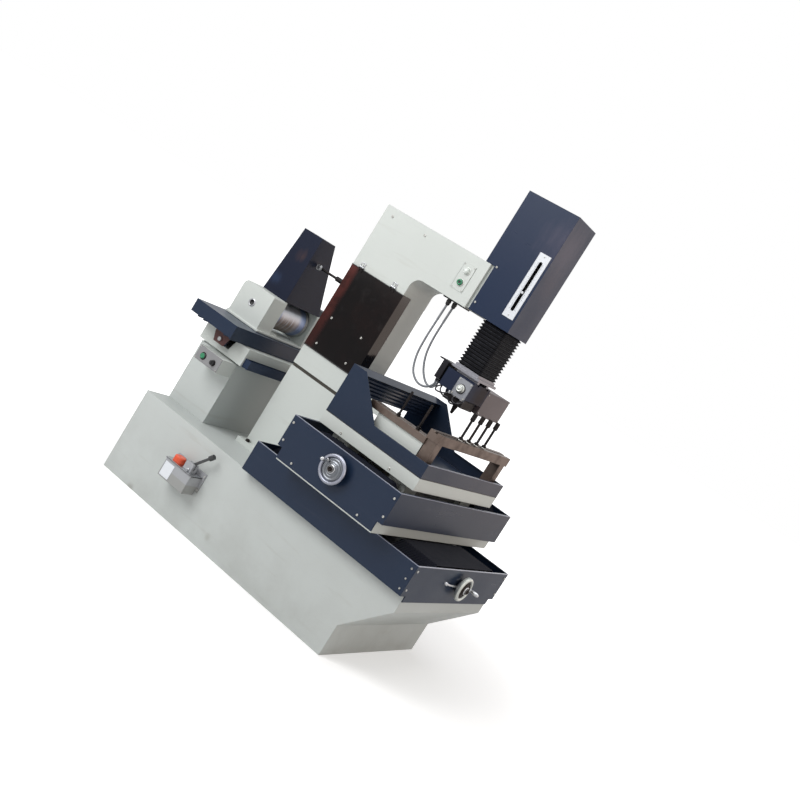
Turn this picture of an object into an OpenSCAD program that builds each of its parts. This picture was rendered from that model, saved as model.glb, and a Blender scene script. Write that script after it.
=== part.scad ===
// Wire EDM machine with a C-frame, a cross table and a taper head.
// X runs along the bed towards the table end, Z is up, and the origin is
// the middle of the bed's foot on the floor. All lengths are millimetres.

/* [Bed] */
// Length of the bed's foot
bed_l = 1416; // [1300:2:1600]
// Width of the bed
bed_w = 862; // [800:2:960]
// Height of the bed
bed_h = 405; // [340:1:480]
// Reach of the nose in front of the foot
nose_l = 175; // [130:1:230]
// Height of the upright part of the foot's front
heel_h = 144; // [100:1:200]
// Height of the nose's upright front
nose_h = 73; // [50:1:100]
// Thickness of the bed's walls
bed_wall = 30; // [20:1:45]
// Thickness of the bed's top plate
bed_top = 45; // [30:1:70]
// Thickness of the ribs under the bed
bed_rib = 28; // [20:1:40]

/* [Troughs] */
// Thickness of the sheet-metal guards
sheet = 4; // [2:0.5:6]
// How far the lower trough stands out over each side of the bed
lower_out = 49; // [30:1:80]
// Width of the turned-in rim on the guards
rim_w = 12; // [8:1:20]
// How far the saddle guard stands out past the casting
saddle_out = 26; // [15:1:35]
// Depth of the end plates' lower tongue
tongue_h = 46; // [30:1:48]

/* [Saddle] */
// Height of the saddle's underside over the bed
saddle_lift = 154; // [140:1:190]
// Length of the saddle along the machine
saddle_w = 533; // [500:1:560]
// Length of the saddle across the machine
saddle_l = 1160; // [1100:2:1240]
// Height of the saddle's base casting
saddle_h = 52; // [48:1:70]
// Spacing of the X ways from the middle
way_y = 260; // [220:1:300]
// Spacing of the Y ways from the screw
way_x = 160; // [140:1:180]
// Width of a guide rail
rail_w = 40; // [30:1:50]

/* [Table] */
// Height of the table's underside over the saddle's underside
table_lift = 207; // [195:1:230]
// Width of the table along the machine
table_w = 524; // [500:1:540]
// Length of the table across the machine
table_l = 808; // [760:2:850]
// Thickness of the table casting
table_h = 56; // [45:1:70]
// Height of the tank's low front walls
tank_low = 62; // [50:1:80]
// Height of the tank's back wall
tank_high = 224; // [200:1:235]
// Thickness of the tank's sheet
tank_t = 3; // [2:0.5:4]
// Height of the clamp rails over the casting
rail_lift = 114; // [100:1:130]
// Thickness of the side clamp rail
side_rail_h = 28; // [20:1:40]
// Thickness of the front clamp rail
front_rail_h = 40; // [30:1:50]
// Height of the clamp bolts over the front rail
bolt_h = 126; // [90:1:130]

/* [Handwheels] */
// Diameter of the X handwheel
x_wheel_d = 112; // [90:1:130]
// Diameter of the Y handwheel
y_wheel_d = 125; // [100:1:150]
// Diameter of the table screws
screw_d = 25; // [20:1:30]

/* [Column] */
// Depth of the column along the machine
col_l = 312; // [280:1:360]
// Width of the column across the machine
col_w = 236; // [200:1:280]
// Height of the column's base
col_base_h = 435; // [400:1:445]
// Thickness of the insulating plate
insul_t = 15; // [8:1:20]
// Height from the insulating plate to the arm's underside
throat_h = 618; // [590:1:680]
// Height of the arm
arm_h = 214; // [180:1:250]
// Reach of the arm past the column
arm_reach = 287; // [250:1:320]
// Radius of the fillet under the arm
throat_r = 48; // [30:1:70]
// Depth of the wire chamber
chamber_d = 73; // [50:1:90]

/* [Z head] */
// Height of the Z cover
z_cover_h = 558; // [540:1:620]
// Depth of the Z cover along the machine
z_cover_l = 216; // [210:1:240]
// Width of the Z cover across the machine
z_cover_w = 222; // [214:1:250]
// Sheet of the Z cover
cover_t = 2.5; // [1.5:0.5:3]
// Length of the bellows at rest
bellows_h = 215; // [180:1:230]
// Number of folds in the bellows
folds = 14; // [8:1:18]
// Width of the taper head's block along the machine
block_l = 145; // [120:1:150]
// Height of the taper head's block
block_h = 84; // [76:1:90]
// Length of the box behind the taper head
box_l = 255; // [180:1:300]

/* [Wire drum] */
// Diameter of the wire drum
drum_d = 150; // [120:1:156]
// Length of the wire drum
drum_l = 260; // [200:1:270]
// Height of the drum's pedestal
pedestal_h = 307; // [280:1:340]
// Length of the pedestal across the machine
pedestal_w = 560; // [500:1:640]
// Height of the carriage's way base
way_base_h = 86; // [78:1:100]
// Height of the drum carriage
carriage_h = 62; // [50:1:70]
// Height of the drum hood
hood_h = 339; // [300:1:380]

/* [Oil pump] */
// Width of the oil reservoir
oil_w = 159; // [120:1:180]
// Height of the oil reservoir
oil_h = 83; // [60:1:100]
// Depth of the oil reservoir
oil_d = 80; // [60:1:90]

/* [Hidden] */
$fn = 48;

over = 1;
run_fit = 0.05;
free_gap = 0.3;

module slab(x, y, z) {
    translate([x[0], y[0], z[0]]) cube([x[1] - x[0], y[1] - y[0], z[1] - z[0]]);
}

module rod_x(d, x, y, z) {
    translate([x[0], y, z]) rotate([0, 90, 0]) cylinder(d = d, h = x[1] - x[0]);
}

module rod_y(d, x, y, z) {
    translate([x, y[0], z]) rotate([-90, 0, 0]) cylinder(d = d, h = y[1] - y[0]);
}

module rod_z(d, x, y, z) {
    translate([x, y, z[0]]) cylinder(d = d, h = z[1] - z[0]);
}

// A profile drawn in X and Z, carried along Y
module prism_y(points, y) {
    translate([0, y[1], 0]) rotate([90, 0, 0]) linear_extrude(y[1] - y[0]) polygon(points);
}

// A profile drawn in Y and Z, carried along X
module prism_x(points, x) {
    translate([x[0], 0, 0]) rotate([90, 0, 90]) linear_extrude(x[1] - x[0]) polygon(points);
}

function span(mid, size) = [mid - size / 2, mid + size / 2];
function arc(cx, cz, r, from, to, steps) =
    [for (i = [0 : steps]) let (a = from + (to - from) * i / steps)
        [cx + r * cos(a), cz + r * sin(a)]];

// Bed
foot_x = bed_l / 2;
nose_x = foot_x + nose_l;
pocket_n = 3;
pocket_l = (bed_l - 2 * bed_wall - (pocket_n - 1) * bed_rib) / pocket_n;

module bed() color("gainsboro") difference() {
    prism_y([[-foot_x, 0], [foot_x, 0], [foot_x, heel_h], [nose_x, bed_h - nose_h],
        [nose_x, bed_h], [-foot_x, bed_h]], span(0, bed_w));
    for (i = [0 : pocket_n - 1], side = [0, 1]) {
        x0 = -foot_x + bed_wall + i * (pocket_l + bed_rib);
        mirror([0, side, 0])
            slab([x0, x0 + pocket_l], [bed_rib / 2, bed_w / 2 - bed_wall], [-over, bed_h - bed_top]);
    }
}

// Column, placed by its front face
col_x1 = -8;
col_x0 = col_x1 - col_l;
col_y0 = -col_w / 2;
col_y1 = col_w / 2;
foot_out = 30;
foot_t = 25;
insul_z = bed_h + col_base_h;
frame_z = insul_z + insul_t;
arm_z0 = frame_z + throat_h;
arm_z1 = arm_z0 + arm_h;
arm_x1 = col_x1 + arm_reach;
insul_in = 4;

// Lower trough, fixed to the bed round the X ways
packing_h = 6;
packing_w = 30;
trough_back = 19;
trough_x0 = col_x1 - trough_back;
trough_y = bed_w / 2 + lower_out;
trough_z0 = bed_h + packing_h;
saddle_z0 = bed_h + saddle_lift;
trough_gap = 10;
trough_z1 = saddle_z0 - trough_gap;
packing_in = 90;
floor_gap = 3;
floor_side_gap = 36;
column_fit = 0.5;
screw_air = 12;
screw_hole_d = screw_d + screw_air;
lower_tongue = 22;

// Height of the X screw, between the bed and the saddle
x_screw_up = 70;
x_screw_z = bed_h + x_screw_up;

module rim(x, y, z) {
    slab(x, y, [z - sheet, z]);
}

module lower_trough() color("darkslateblue") {
    side_x = [trough_x0, nose_x];
    difference() {
        slab(side_x, span(0, 2 * trough_y), [trough_z0, trough_z1]);
        slab([trough_x0 + sheet, nose_x + over], span(0, 2 * (trough_y - sheet)),
            [trough_z0 + sheet, trough_z1 + over]);
        slab([x_bearing_rear - floor_gap, x_bearing_front + bearing_t + floor_gap],
            span(0, 2 * way_y + way_pad_w + 2 * floor_side_gap),
            [trough_z0 - over, trough_z0 + sheet + over]);
        slab([trough_x0 - over, col_x1 + column_fit], span(0, col_w + 2 * column_fit),
            [trough_z0 - over, trough_z1 + over]);
    }
    for (side = [0, 1]) mirror([0, side, 0]) {
        rim(side_x, [trough_y - rim_w, trough_y - sheet], trough_z1);
        slab([trough_x0 + packing_in, nose_x - packing_in],
            [bed_w / 2 - packing_w, bed_w / 2], [bed_h, trough_z0]);
    }
    difference() {
        union() {
            slab([nose_x, nose_x + sheet], span(0, 2 * trough_y), [trough_z0, trough_z1]);
            slab([nose_x, nose_x + sheet], span(0, bed_w), [bed_h - lower_tongue, trough_z0]);
        }
        rod_x(screw_hole_d, [nose_x - over, nose_x + sheet + over], 0, x_screw_z);
    }
}

// X ways with the screw's end bearings
way_pad_w = 90;
way_pad_h = 86;
way_end = 25;
way_start = 21;
way_x0 = col_x1 + way_start;
way_x1 = nose_x - way_end;
rail_top_gap = 9;
x_rail_z1 = saddle_z0 - rail_top_gap;
bearing_w = 90;
bearing_t = 30;
bearing_rise = 34;
bearing_start = 12;
bearing_seat = 6;
x_bearing_rear = col_x1 + bearing_start;
x_bearing_front = nose_x - bearing_t - bearing_seat;

module x_ways() color("silver") {
    for (side = [-1, 1]) {
        slab([way_x0, way_x1], span(side * way_y, way_pad_w), [bed_h, bed_h + way_pad_h]);
        slab([way_x0, way_x1], span(side * way_y, rail_w), [bed_h + way_pad_h, x_rail_z1]);
    }
    for (x = [x_bearing_rear, x_bearing_front]) difference() {
        slab([x, x + bearing_t], span(0, bearing_w), [bed_h, x_screw_z + bearing_rise]);
        rod_x(screw_d + 2 * run_fit, [x - over, x + bearing_t + over], 0, x_screw_z);
    }
}

// Saddle, at rest near the middle of the lower trough
saddle_back = 9;
saddle_x = (trough_x0 + nose_x) / 2 - saddle_back;
saddle_x0 = saddle_x - saddle_w / 2;
saddle_x1 = saddle_x + saddle_w / 2;
saddle_z1 = saddle_z0 + saddle_h;
table_z0 = saddle_z0 + table_lift;
boss_w = 100;
boss_end = 20;
boss_h = 88;
boss_z1 = saddle_z1 + boss_h;
y_screw_up = 61;
y_screw_z = saddle_z1 + y_screw_up;
y_rail_gap = 24;
y_rail_z1 = table_z0 - y_rail_gap;
runner_grip = 35;
runner_l = 110;
x_runner_shares = [-0.24, 0.24];
nut_w = 70;
nut_drop = 32;

// A runner block that rides on one rail along X or, turned, along Y
module runner(length, width, rail_z1, z1) {
    difference() {
        slab(span(0, length), span(0, width), [rail_z1 - runner_grip, z1]);
        slab(span(0, length + 2 * over), span(0, rail_w + 2 * run_fit),
            [rail_z1 - runner_grip - over, rail_z1 + run_fit]);
    }
}

module saddle_casting() color("gainsboro") {
    slab([saddle_x0, saddle_x1], span(0, saddle_l), [saddle_z0, saddle_z1]);
    for (side = [-1, 1])
        slab(span(saddle_x + side * way_x, boss_w), span(0, saddle_l - 2 * boss_end),
            [saddle_z1, boss_z1]);
    for (share = x_runner_shares, side = [-1, 1])
        translate([saddle_x + share * saddle_w, side * way_y, 0])
            runner(runner_l, way_pad_w, x_rail_z1, saddle_z0);
    difference() {
        slab(span(saddle_x, nut_w), span(0, nut_w), [x_screw_z - nut_drop, saddle_z0]);
        rod_x(screw_d + 2 * free_gap, span(saddle_x, nut_w + 2 * over), 0, x_screw_z);
    }
}

// Saddle guard: two side plates, and end plates with a narrower tongue
guard_x0 = saddle_x0 - saddle_out;
guard_x1 = saddle_x1 + saddle_out;
guard_y = saddle_l / 2 + sheet;
guard_gap = 12;
guard_z1 = table_z0 - guard_gap;
guard_floor_in = 36;
guard_floor_w = saddle_out + guard_floor_in;

module saddle_trough() color("darkslateblue") {
    for (side = [0, 1]) translate([saddle_x, 0, 0]) mirror([side, 0, 0]) {
        half = guard_x1 - saddle_x;
        slab([half - sheet, half], span(0, saddle_l), [saddle_z1, guard_z1]);
        slab([half - guard_floor_w, half - sheet], span(0, saddle_l), [saddle_z1, saddle_z1 + sheet]);
        rim([half - rim_w, half - sheet], span(0, saddle_l), guard_z1);
    }
    for (side = [0, 1]) mirror([0, side, 0]) difference() {
        union() {
            slab([guard_x0, guard_x1], [saddle_l / 2, guard_y], [saddle_z1, guard_z1]);
            slab([saddle_x0, saddle_x1], [saddle_l / 2, guard_y], [saddle_z1 - tongue_h, saddle_z1]);
            rim([guard_x0, guard_x1], [guard_y - rim_w, guard_y - sheet], guard_z1);
        }
        rod_y(screw_hole_d, saddle_x, [saddle_l / 2 - over, guard_y + over], y_screw_z);
    }
}

y_bearing_in = 35;
module y_ways() color("silver") {
    for (side = [-1, 1])
        slab(span(saddle_x + side * way_x, rail_w), span(0, saddle_l - 2 * boss_end),
            [boss_z1, y_rail_z1]);
    for (side = [0, 1]) mirror([0, side, 0]) difference() {
        y1 = saddle_l / 2 - y_bearing_in + bearing_t;
        slab(span(saddle_x, bearing_w), [y1 - bearing_t, y1], [saddle_z1, y_screw_z + bearing_rise]);
        rod_y(screw_d + 2 * run_fit, saddle_x, [y1 - bearing_t - over, y1 + over], y_screw_z);
    }
}

// Handwheel turned about its own axis, seated at z = 0 and facing +Z
collar_d = 62;
collar_h = 16;
hub_d = 36;
wheel_h = 26;
wheel_rim = 15;
web_t = 8;
rim_bite = 3;
web_z = collar_h + (wheel_h - web_t) / 2;
grip_d = 18;
grip_l = 46;
grip_shares = [[0, 0], [0.32, 0], [0.42, 0.15], [0.5, 0.6], [0.46, 0.85], [0.3, 0.97], [0, 1]];
grip_pin_d = 8;
grip_edge = 2;
grip_in = wheel_rim + grip_pin_d / 2 + grip_edge;
wheel_seat = 3;

module wheel_turned(d) {
    difference() {
        union() {
            cylinder(d = collar_d, h = collar_h);
            translate([0, 0, collar_h]) cylinder(d = hub_d, h = wheel_h);
            rotate_extrude($fn = 72) {
                translate([d / 2 - wheel_rim / 2, collar_h + wheel_h / 2]) circle(d = wheel_rim, $fn = 12);
                translate([hub_d / 4, web_z])
                    square([d / 2 - wheel_rim - hub_d / 4 + rim_bite, web_t]);
            }
        }
        translate([0, 0, -over]) cylinder(d = screw_d + 2 * run_fit, h = collar_h + wheel_h + 2 * over);
        translate([d / 2 - grip_in, 0, web_z - over])
            cylinder(d = grip_pin_d + 2 * run_fit, h = web_t + 2 * over);
    }
}

module grip_turned(d) translate([d / 2 - grip_in, 0, collar_h + wheel_h / 2]) {
    cylinder(d = grip_pin_d, h = wheel_h);
    translate([0, 0, wheel_rim / 2 + wheel_seat]) rotate_extrude($fn = 32)
        polygon([for (s = grip_shares) [s[0] * grip_d, s[1] * grip_l]]);
}

x_wheel_x = nose_x + sheet + wheel_seat;
x_screw_start = 6;
wheel_turns = [100, 150];
module at_x_wheel() translate([x_wheel_x, 0, x_screw_z]) rotate([0, 90, 0]) rotate([0, 0,
    wheel_turns[0]]) children();
module x_screw() color("silver")
    rod_x(screw_d, [col_x1 + x_screw_start, x_wheel_x + collar_h + wheel_h + wheel_seat], 0, x_screw_z);
module x_handwheel() color("silver") at_x_wheel() wheel_turned(x_wheel_d);
module x_grip() color("dimgray") at_x_wheel() grip_turned(x_wheel_d);

y_wheel_y = -guard_y - wheel_seat;
module at_y_wheel() translate([saddle_x, y_wheel_y, y_screw_z]) rotate([90, 0, 0])
    rotate([0, 0, wheel_turns[1]]) children();
module y_screw() color("silver")
    rod_y(screw_d, saddle_x, [y_wheel_y - collar_h - wheel_h - wheel_seat, saddle_l / 2 - wheel_seat],
        y_screw_z);
module y_handwheel() color("silver") at_y_wheel() wheel_turned(y_wheel_d);
module y_grip() color("dimgray") at_y_wheel() grip_turned(y_wheel_d);

// Table, at rest a little towards the operator's side
table_shift = 6;
table_x = saddle_x + table_shift;
table_y = -56;
table_x0 = table_x - table_w / 2;
table_x1 = table_x + table_w / 2;
table_y0 = table_y - table_l / 2;
table_y1 = table_y + table_l / 2;
table_z1 = table_z0 + table_h;
y_runner_share = 0.35;
rail_z0 = table_z1 + rail_lift;
side_rail_in = 75;
side_rail_y = table_y0 + side_rail_in;
side_rail_w = 80;
side_rail_start = 138;
side_rail_x0 = table_x0 + side_rail_start;
ledge_ends = [192, 92];
ledge_x = [table_x0 + ledge_ends[0], table_x1 - ledge_ends[1]];
ledge_w = 60;
ledge_in = 8;

module table_casting() color("gainsboro") {
    slab([table_x0, table_x1], [table_y0, table_y1], [table_z0, table_z1]);
    for (sx = [-1, 1], sy = [-1, 1])
        translate([saddle_x + sx * way_x, table_y + sy * y_runner_share * table_l, 0]) rotate([0, 0, 90])
            runner(runner_l, way_pad_w, y_rail_z1, table_z0);
    difference() {
        slab(span(saddle_x, nut_w), span(table_y, nut_w), [y_screw_z - nut_drop, table_z0]);
        rod_y(screw_d + 2 * free_gap, saddle_x, span(table_y, nut_w + 2 * over), y_screw_z);
    }
    slab(ledge_x, span(side_rail_y, ledge_w), [table_z1, rail_z0]);
}

// Water tank with high back and sloping sides, slotted for the lower arm
tank_z1 = table_z1 + tank_high;
tank_flat = 70;
tank_slope_l = 231;
tank_slope_x = table_x0 + tank_slope_l;
slot_low = 20;
arm_gap = 34;
arm_tip_h = 38;
lower_arm_h = 69;
lower_arm_w = 64;
lower_arm_z = table_z1 + arm_gap;
slot_air = 7;
slot_z = [table_z1 + slot_low, lower_arm_z + lower_arm_h + slot_air];
slot_y = [-275, 172];
lip_reach = 40;
lip_drop = 24;

module water_tank() color("darkslateblue") {
    profile = [[table_x0, table_z1], [table_x1, table_z1], [table_x1, table_z1 + tank_low],
        [tank_slope_x, table_z1 + tank_low], [table_x0 + tank_flat, tank_z1], [table_x0, tank_z1]];
    for (y = [table_y0, table_y1 - tank_t]) prism_y(profile, [y, y + tank_t]);
    difference() {
        slab([table_x0, table_x1], [table_y0, table_y1], [table_z1, table_z1 + tank_t]);
        slab([ledge_x[0] - run_fit, ledge_x[1] + run_fit], span(side_rail_y, ledge_w + 2 * run_fit),
            [table_z1 - over, table_z1 + tank_t + over]);
    }
    slab([table_x1 - tank_t, table_x1], [table_y0, table_y1], [table_z1, table_z1 + tank_low]);
    difference() {
        slab([table_x0, table_x0 + tank_t], [table_y0, table_y1], [table_z1, tank_z1]);
        slab([table_x0 - over, table_x0 + tank_t + over], slot_y, slot_z);
    }
    prism_y([[table_x0, tank_z1 - tank_t], [table_x0 + tank_t, tank_z1 - tank_t],
        [table_x0 + lip_reach, tank_z1 - lip_drop],
            [table_x0 + lip_reach + tank_t, tank_z1 - lip_drop + tank_t],
        [table_x0 + tank_t, tank_z1], [table_x0, tank_z1]], [table_y0, table_y1]);
    rim([tank_slope_x, table_x1], [table_y0 + tank_t, table_y0 + rim_w], table_z1 + tank_low);
    rim([table_x1 - rim_w, table_x1 - tank_t], [table_y0, table_y1], table_z1 + tank_low);
    rim([tank_slope_x, table_x1], [table_y1 - rim_w, table_y1 - tank_t], table_z1 + tank_low);
}

// Clamp rails on the ledge and the two steel posts
front_rail_in = 62;
front_rail_x = table_x1 - front_rail_in;
front_rail_w = 60;
front_rail_ends = [36, 22];
front_rail_y = [table_y0 + front_rail_ends[0], table_y1 - front_rail_ends[1]];
front_rail_z0 = rail_z0 + side_rail_h;
front_rail_z1 = front_rail_z0 + front_rail_h;
post_w = 50;
post_in = 8;
slot_w = 12;
slot_deep = 8;

module clamp_rails() color("silver") {
    post_z0 = table_z1 + tank_t;
    rail_x1 = front_rail_x - post_w / 2;
    difference() {
        slab([side_rail_x0, rail_x1], span(side_rail_y, side_rail_w), [rail_z0, front_rail_z0]);
        slab([side_rail_x0 - over, rail_x1 + over], span(side_rail_y, slot_w),
            [front_rail_z0 - slot_deep, front_rail_z0 + over]);
    }
    difference() {
        slab(span(front_rail_x, front_rail_w), front_rail_y, [front_rail_z0, front_rail_z1]);
        slab(span(front_rail_x, slot_w), [front_rail_y[0] - over, front_rail_y[1] + over],
            [front_rail_z1 - slot_deep, front_rail_z1 + over]);
    }
    for (y = [front_rail_y[0] + post_in, front_rail_y[1] - post_in - post_w])
        slab(span(front_rail_x, post_w), [y, y + post_w], [post_z0, front_rail_z0]);
}

// Four clamp bolts with long nuts on the front rail, two studs on the side rail
bolt_d = 11;
bolt_nut_d = 20;
bolt_nut_h = 34;
bolt_start = 140;
bolt_n = 4;
bolt_y0 = table_y - bolt_start;
bolt_pitch = 84;
stud_x_shares = [0.37, 0.7];
stud_h = 122;
stud_d = 10;
stud_nut_h = 12;

module clamp_bolts() color("dimgray") {
    for (i = [0 : bolt_n - 1]) {
        rod_z(bolt_d, front_rail_x, bolt_y0 + i * bolt_pitch,
            [front_rail_z1 - slot_deep, front_rail_z1 + bolt_h - bolt_nut_h]);
        translate([front_rail_x, bolt_y0 + i * bolt_pitch, front_rail_z1 + bolt_h - bolt_nut_h])
            cylinder(d = bolt_nut_d, h = bolt_nut_h, $fn = 6);
    }
    for (share = stud_x_shares) {
        x = side_rail_x0 + share * (front_rail_x - side_rail_x0);
        rod_z(stud_d, x, side_rail_y, [front_rail_z0 - slot_deep, front_rail_z0 + stud_h - slot_deep]);
        translate([x, side_rail_y, front_rail_z0]) cylinder(d = bolt_nut_d, h = stud_nut_h, $fn = 6);
    }
}

// Column
module column_base() color("gainsboro") {
    slab([col_x0, col_x1], [col_y0, col_y1], [bed_h, insul_z]);
    slab([col_x0 - foot_out, trough_x0 - over], [col_y0 - foot_out, col_y1 + foot_out],
        [bed_h, bed_h + foot_t]);
}

module insulating_plate() color("darkolivegreen")
    slab([col_x0 + insul_in, col_x1 - insul_in], [col_y0 + insul_in, col_y1 - insul_in], [insul_z, frame_z]);

chamber_y = col_y0 + chamber_d;
chamber_wall = 12;
chamber_x0 = col_x0 + chamber_wall;
cover_up = 96;
cover_down = 95;
cover_lap = 14;
cover_z0 = frame_z + cover_up;
cover_z1 = arm_z0 - cover_down;
chamber_z = [cover_z0 + cover_lap, cover_z1 - cover_lap];
guide_wheel_d = 60;
guide_wheel_t = 10;
spindle_d = 10;
spindle_in = 52;
spindle_end = 45;
spindle_x = col_x1 - spindle_in;
spindle_zs = [chamber_z[0] + spindle_end, chamber_z[1] - spindle_end];
spindle_l = 44;
spindle_cap_d = 16;
spindle_cap_t = 3;
button_d = 20;
button_deep = 20;
arm_button_in = 80;
arm_button_up = 81;
arm_button_x = arm_x1 - arm_button_in;
arm_button_z = arm_z0 + arm_button_up;
hinge_ends = [54, 63];
hinge_out = 6;
hinge_x = [col_x0 + hinge_ends[0], col_x1 - hinge_ends[1]];
pivot_y = col_y0 - hinge_out;
pivot_z = cover_z1 + hinge_out;
knuckle_d = 8;
knuckle_w = 8;
pin_d = 3;
pin_l = 26;
leaf_h = 16;

module c_frame() color("gainsboro") {
    difference() {
        prism_y(concat([[col_x0, frame_z], [col_x1, frame_z]],
            arc(col_x1 + throat_r, arm_z0 - throat_r, throat_r, 180, 90, 12),
            [[arm_x1, arm_z0], [arm_x1, arm_z1], [col_x0, arm_z1]]), [col_y0, col_y1]);
        slab([chamber_x0, col_x1 + over], [col_y0 - over, chamber_y], chamber_z);
        rod_y(button_d + 2 * free_gap, arm_button_x, [col_y0 - over, col_y0 + button_deep], arm_button_z);
    }
    for (z = spindle_zs) {
        rod_y(spindle_d, spindle_x, [chamber_y - spindle_l, chamber_y], z);
        rod_y(spindle_cap_d, spindle_x, [chamber_y - spindle_l - spindle_cap_t, chamber_y - spindle_l], z);
    }
    for (x = hinge_x) {
        slab(span(x, knuckle_w), [pivot_y, col_y0], [pivot_z, pivot_z + leaf_h]);
        rod_x(knuckle_d, span(x, knuckle_w), pivot_y, pivot_z);
        rod_x(pin_d, span(x, pin_l), pivot_y, pivot_z);
    }
}

// A wheel's half profile, as shares of its diameter and its width, and the depth of its V groove
wheel_shares = [[0.28, 0], [0.34, 0.22], [0.42, 0.22], [0.5, 0]];
groove_share = 0.45;
module guide_wheel(d, t, bore, x, y0, z) {
    near = [for (s = wheel_shares) [s[0] * d, s[1] * t]];
    far = [for (i = [len(near) - 1 : -1 : 0]) [near[i][0], t - near[i][1]]];
    translate([x, y0, z]) rotate([-90, 0, 0]) rotate_extrude($fn = 64)
        polygon(concat([[bore / 2, 0]], near, [[d / 2 - t * groove_share, t / 2]], far, [[bore / 2, t]]));
}

wheel_y = chamber_y - spindle_l + free_gap;
module guide_wheel_top() color("silver")
    guide_wheel(guide_wheel_d, guide_wheel_t, spindle_d + 2 * run_fit, spindle_x, wheel_y, spindle_zs[1]);
module guide_wheel_low() color("silver")
    guide_wheel(guide_wheel_d, guide_wheel_t, spindle_d + 2 * run_fit, spindle_x, wheel_y, spindle_zs[0]);

// Smoked cover over the wire chamber, hung on two hinges
smoke_t = 3;
smoke_gap = 0.3;
module smoked_cover() color("darkslategray") {
    x1 = col_x1 + smoke_gap + smoke_t;
    slab([col_x0, x1], [col_y0 - smoke_gap - smoke_t, col_y0 - smoke_gap], [cover_z0, cover_z1]);
    slab([x1 - smoke_t, x1], [col_y0 - smoke_gap, chamber_y], [cover_z0, cover_z1]);
    for (x = hinge_x, side = [-1, 1]) {
        w = pin_l / 2 - knuckle_w / 2 - free_gap;
        mid = x + side * (knuckle_w / 2 + free_gap + w / 2);
        difference() {
            union() {
                rod_x(knuckle_d, span(mid, w), pivot_y, pivot_z);
                slab(span(mid, w), [pivot_y, col_y0 - smoke_gap],
                    [cover_z1 - leaf_h, pivot_z - knuckle_d / 4]);
            }
            rod_x(pin_d + 2 * run_fit, span(mid, w + 2 * over), pivot_y, pivot_z);
        }
    }
}

// Guide rod with its wheel, reaching out over the drum
rod_y_at = -30;
rod_up = 420;
rod_l = 201;
rod_z_at = frame_z + rod_up;
rod_x0 = col_x0 - rod_l;
rod_d = 12;
rod_collar_d = 24;
rod_collar_l = 90;
fork_l = 20;
fork_pin_d = 6;
rod_wheel_d = 30;
rod_wheel_t = 6;
module guide_rod() color("dimgray") {
    rod_x(rod_d, [rod_x0, col_x0], rod_y_at, rod_z_at);
    rod_x(rod_collar_d, [col_x0 - rod_collar_l, col_x0], rod_y_at, rod_z_at);
    rod_y(fork_pin_d, rod_x0 + rod_d / 2, [rod_y_at - fork_l, rod_y_at], rod_z_at);
}
module rod_wheel() color("silver")
    guide_wheel(rod_wheel_d, rod_wheel_t, fork_pin_d + 2 * run_fit, rod_x0 + rod_d / 2,
        rod_y_at - fork_l + over, rod_z_at);

// Arm panel with lamp and button
panel_t = 2;
panel_w = 66;
panel_h = 123;
panel_up = 45;
lamp_up = 136;
panel_z0 = arm_z0 + panel_up;
lamp_z = arm_z0 + lamp_up;
lamp_d = 22;
lamp_h = 10;
button_h = 8;
button_travel = 4;
module arm_panel() color("honeydew") difference() {
    slab(span(arm_button_x, panel_w), [col_y0 - panel_t, col_y0], [panel_z0, panel_z0 + panel_h]);
    rod_y(button_d + 2 * free_gap, arm_button_x, [col_y0 - panel_t - over, col_y0 + over], arm_button_z);
}
module arm_lamp() color("white") {
    y1 = col_y0 - panel_t;
    rod_y(lamp_d + panel_t, arm_button_x, [y1 - panel_t, y1], lamp_z);
    rod_y(lamp_d, arm_button_x, [y1 - lamp_h, y1 - panel_t], lamp_z);
}
module arm_button() color("seagreen")
    rod_y(button_d, arm_button_x, [col_y0 - panel_t - button_h, col_y0 + button_deep - button_travel - over],
        arm_button_z);

// Lower wire arm with its guide wheel at the tip
wire_out = 155;
wire_x = arm_x1 + wire_out;
arm_root_t = 16;
arm_root_w = 110;
arm_root_up = 8;
small_wheel_d = 32;
small_wheel_t = 8;
wheel_slot_w = 12;
nozzle_d = 26;
nozzle_h = 14;
wire_bore = 6;
tip_out = 20;
taper_end = 60;
wheel_air = 4;
arm_skin = 2;
lower_wheel_drop = 21;
lower_tip_x = wire_x + tip_out;
lower_arm_z1 = lower_arm_z + lower_arm_h - nozzle_h;
small_wheel_x = wire_x - small_wheel_d / 2;
lower_wheel_z = lower_arm_z1 - lower_wheel_drop;

module lower_arm() color("gainsboro") {
    difference() {
        union() {
            prism_y([[col_x1, lower_arm_z],
                [wire_x - taper_end, lower_arm_z + lower_arm_h - nozzle_h - arm_tip_h],
                [lower_tip_x, lower_arm_z1 - arm_tip_h], [lower_tip_x, lower_arm_z1], [col_x1, lower_arm_z1]],
                span(0, lower_arm_w));
            slab([col_x1, col_x1 + arm_root_t], span(0, arm_root_w),
                [lower_arm_z, lower_arm_z1 + arm_root_up]);
            rod_z(nozzle_d, wire_x, 0, [lower_arm_z1, lower_arm_z1 + nozzle_h]);
        }
        slab([small_wheel_x - small_wheel_d / 2 - wheel_air, lower_tip_x + over], span(0, wheel_slot_w),
            [lower_arm_z - over, lower_arm_z1 - arm_skin]);
        rod_z(wire_bore, wire_x, 0, [lower_arm_z1 - arm_skin - over, lower_arm_z1 + nozzle_h + over]);
    }
    rod_y(fork_pin_d, small_wheel_x, span(0, wheel_slot_w + over), lower_wheel_z);
}
module lower_wheel() color("silver")
    guide_wheel(small_wheel_d, small_wheel_t, fork_pin_d + 2 * run_fit, small_wheel_x,
        -small_wheel_t / 2, lower_wheel_z);

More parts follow.
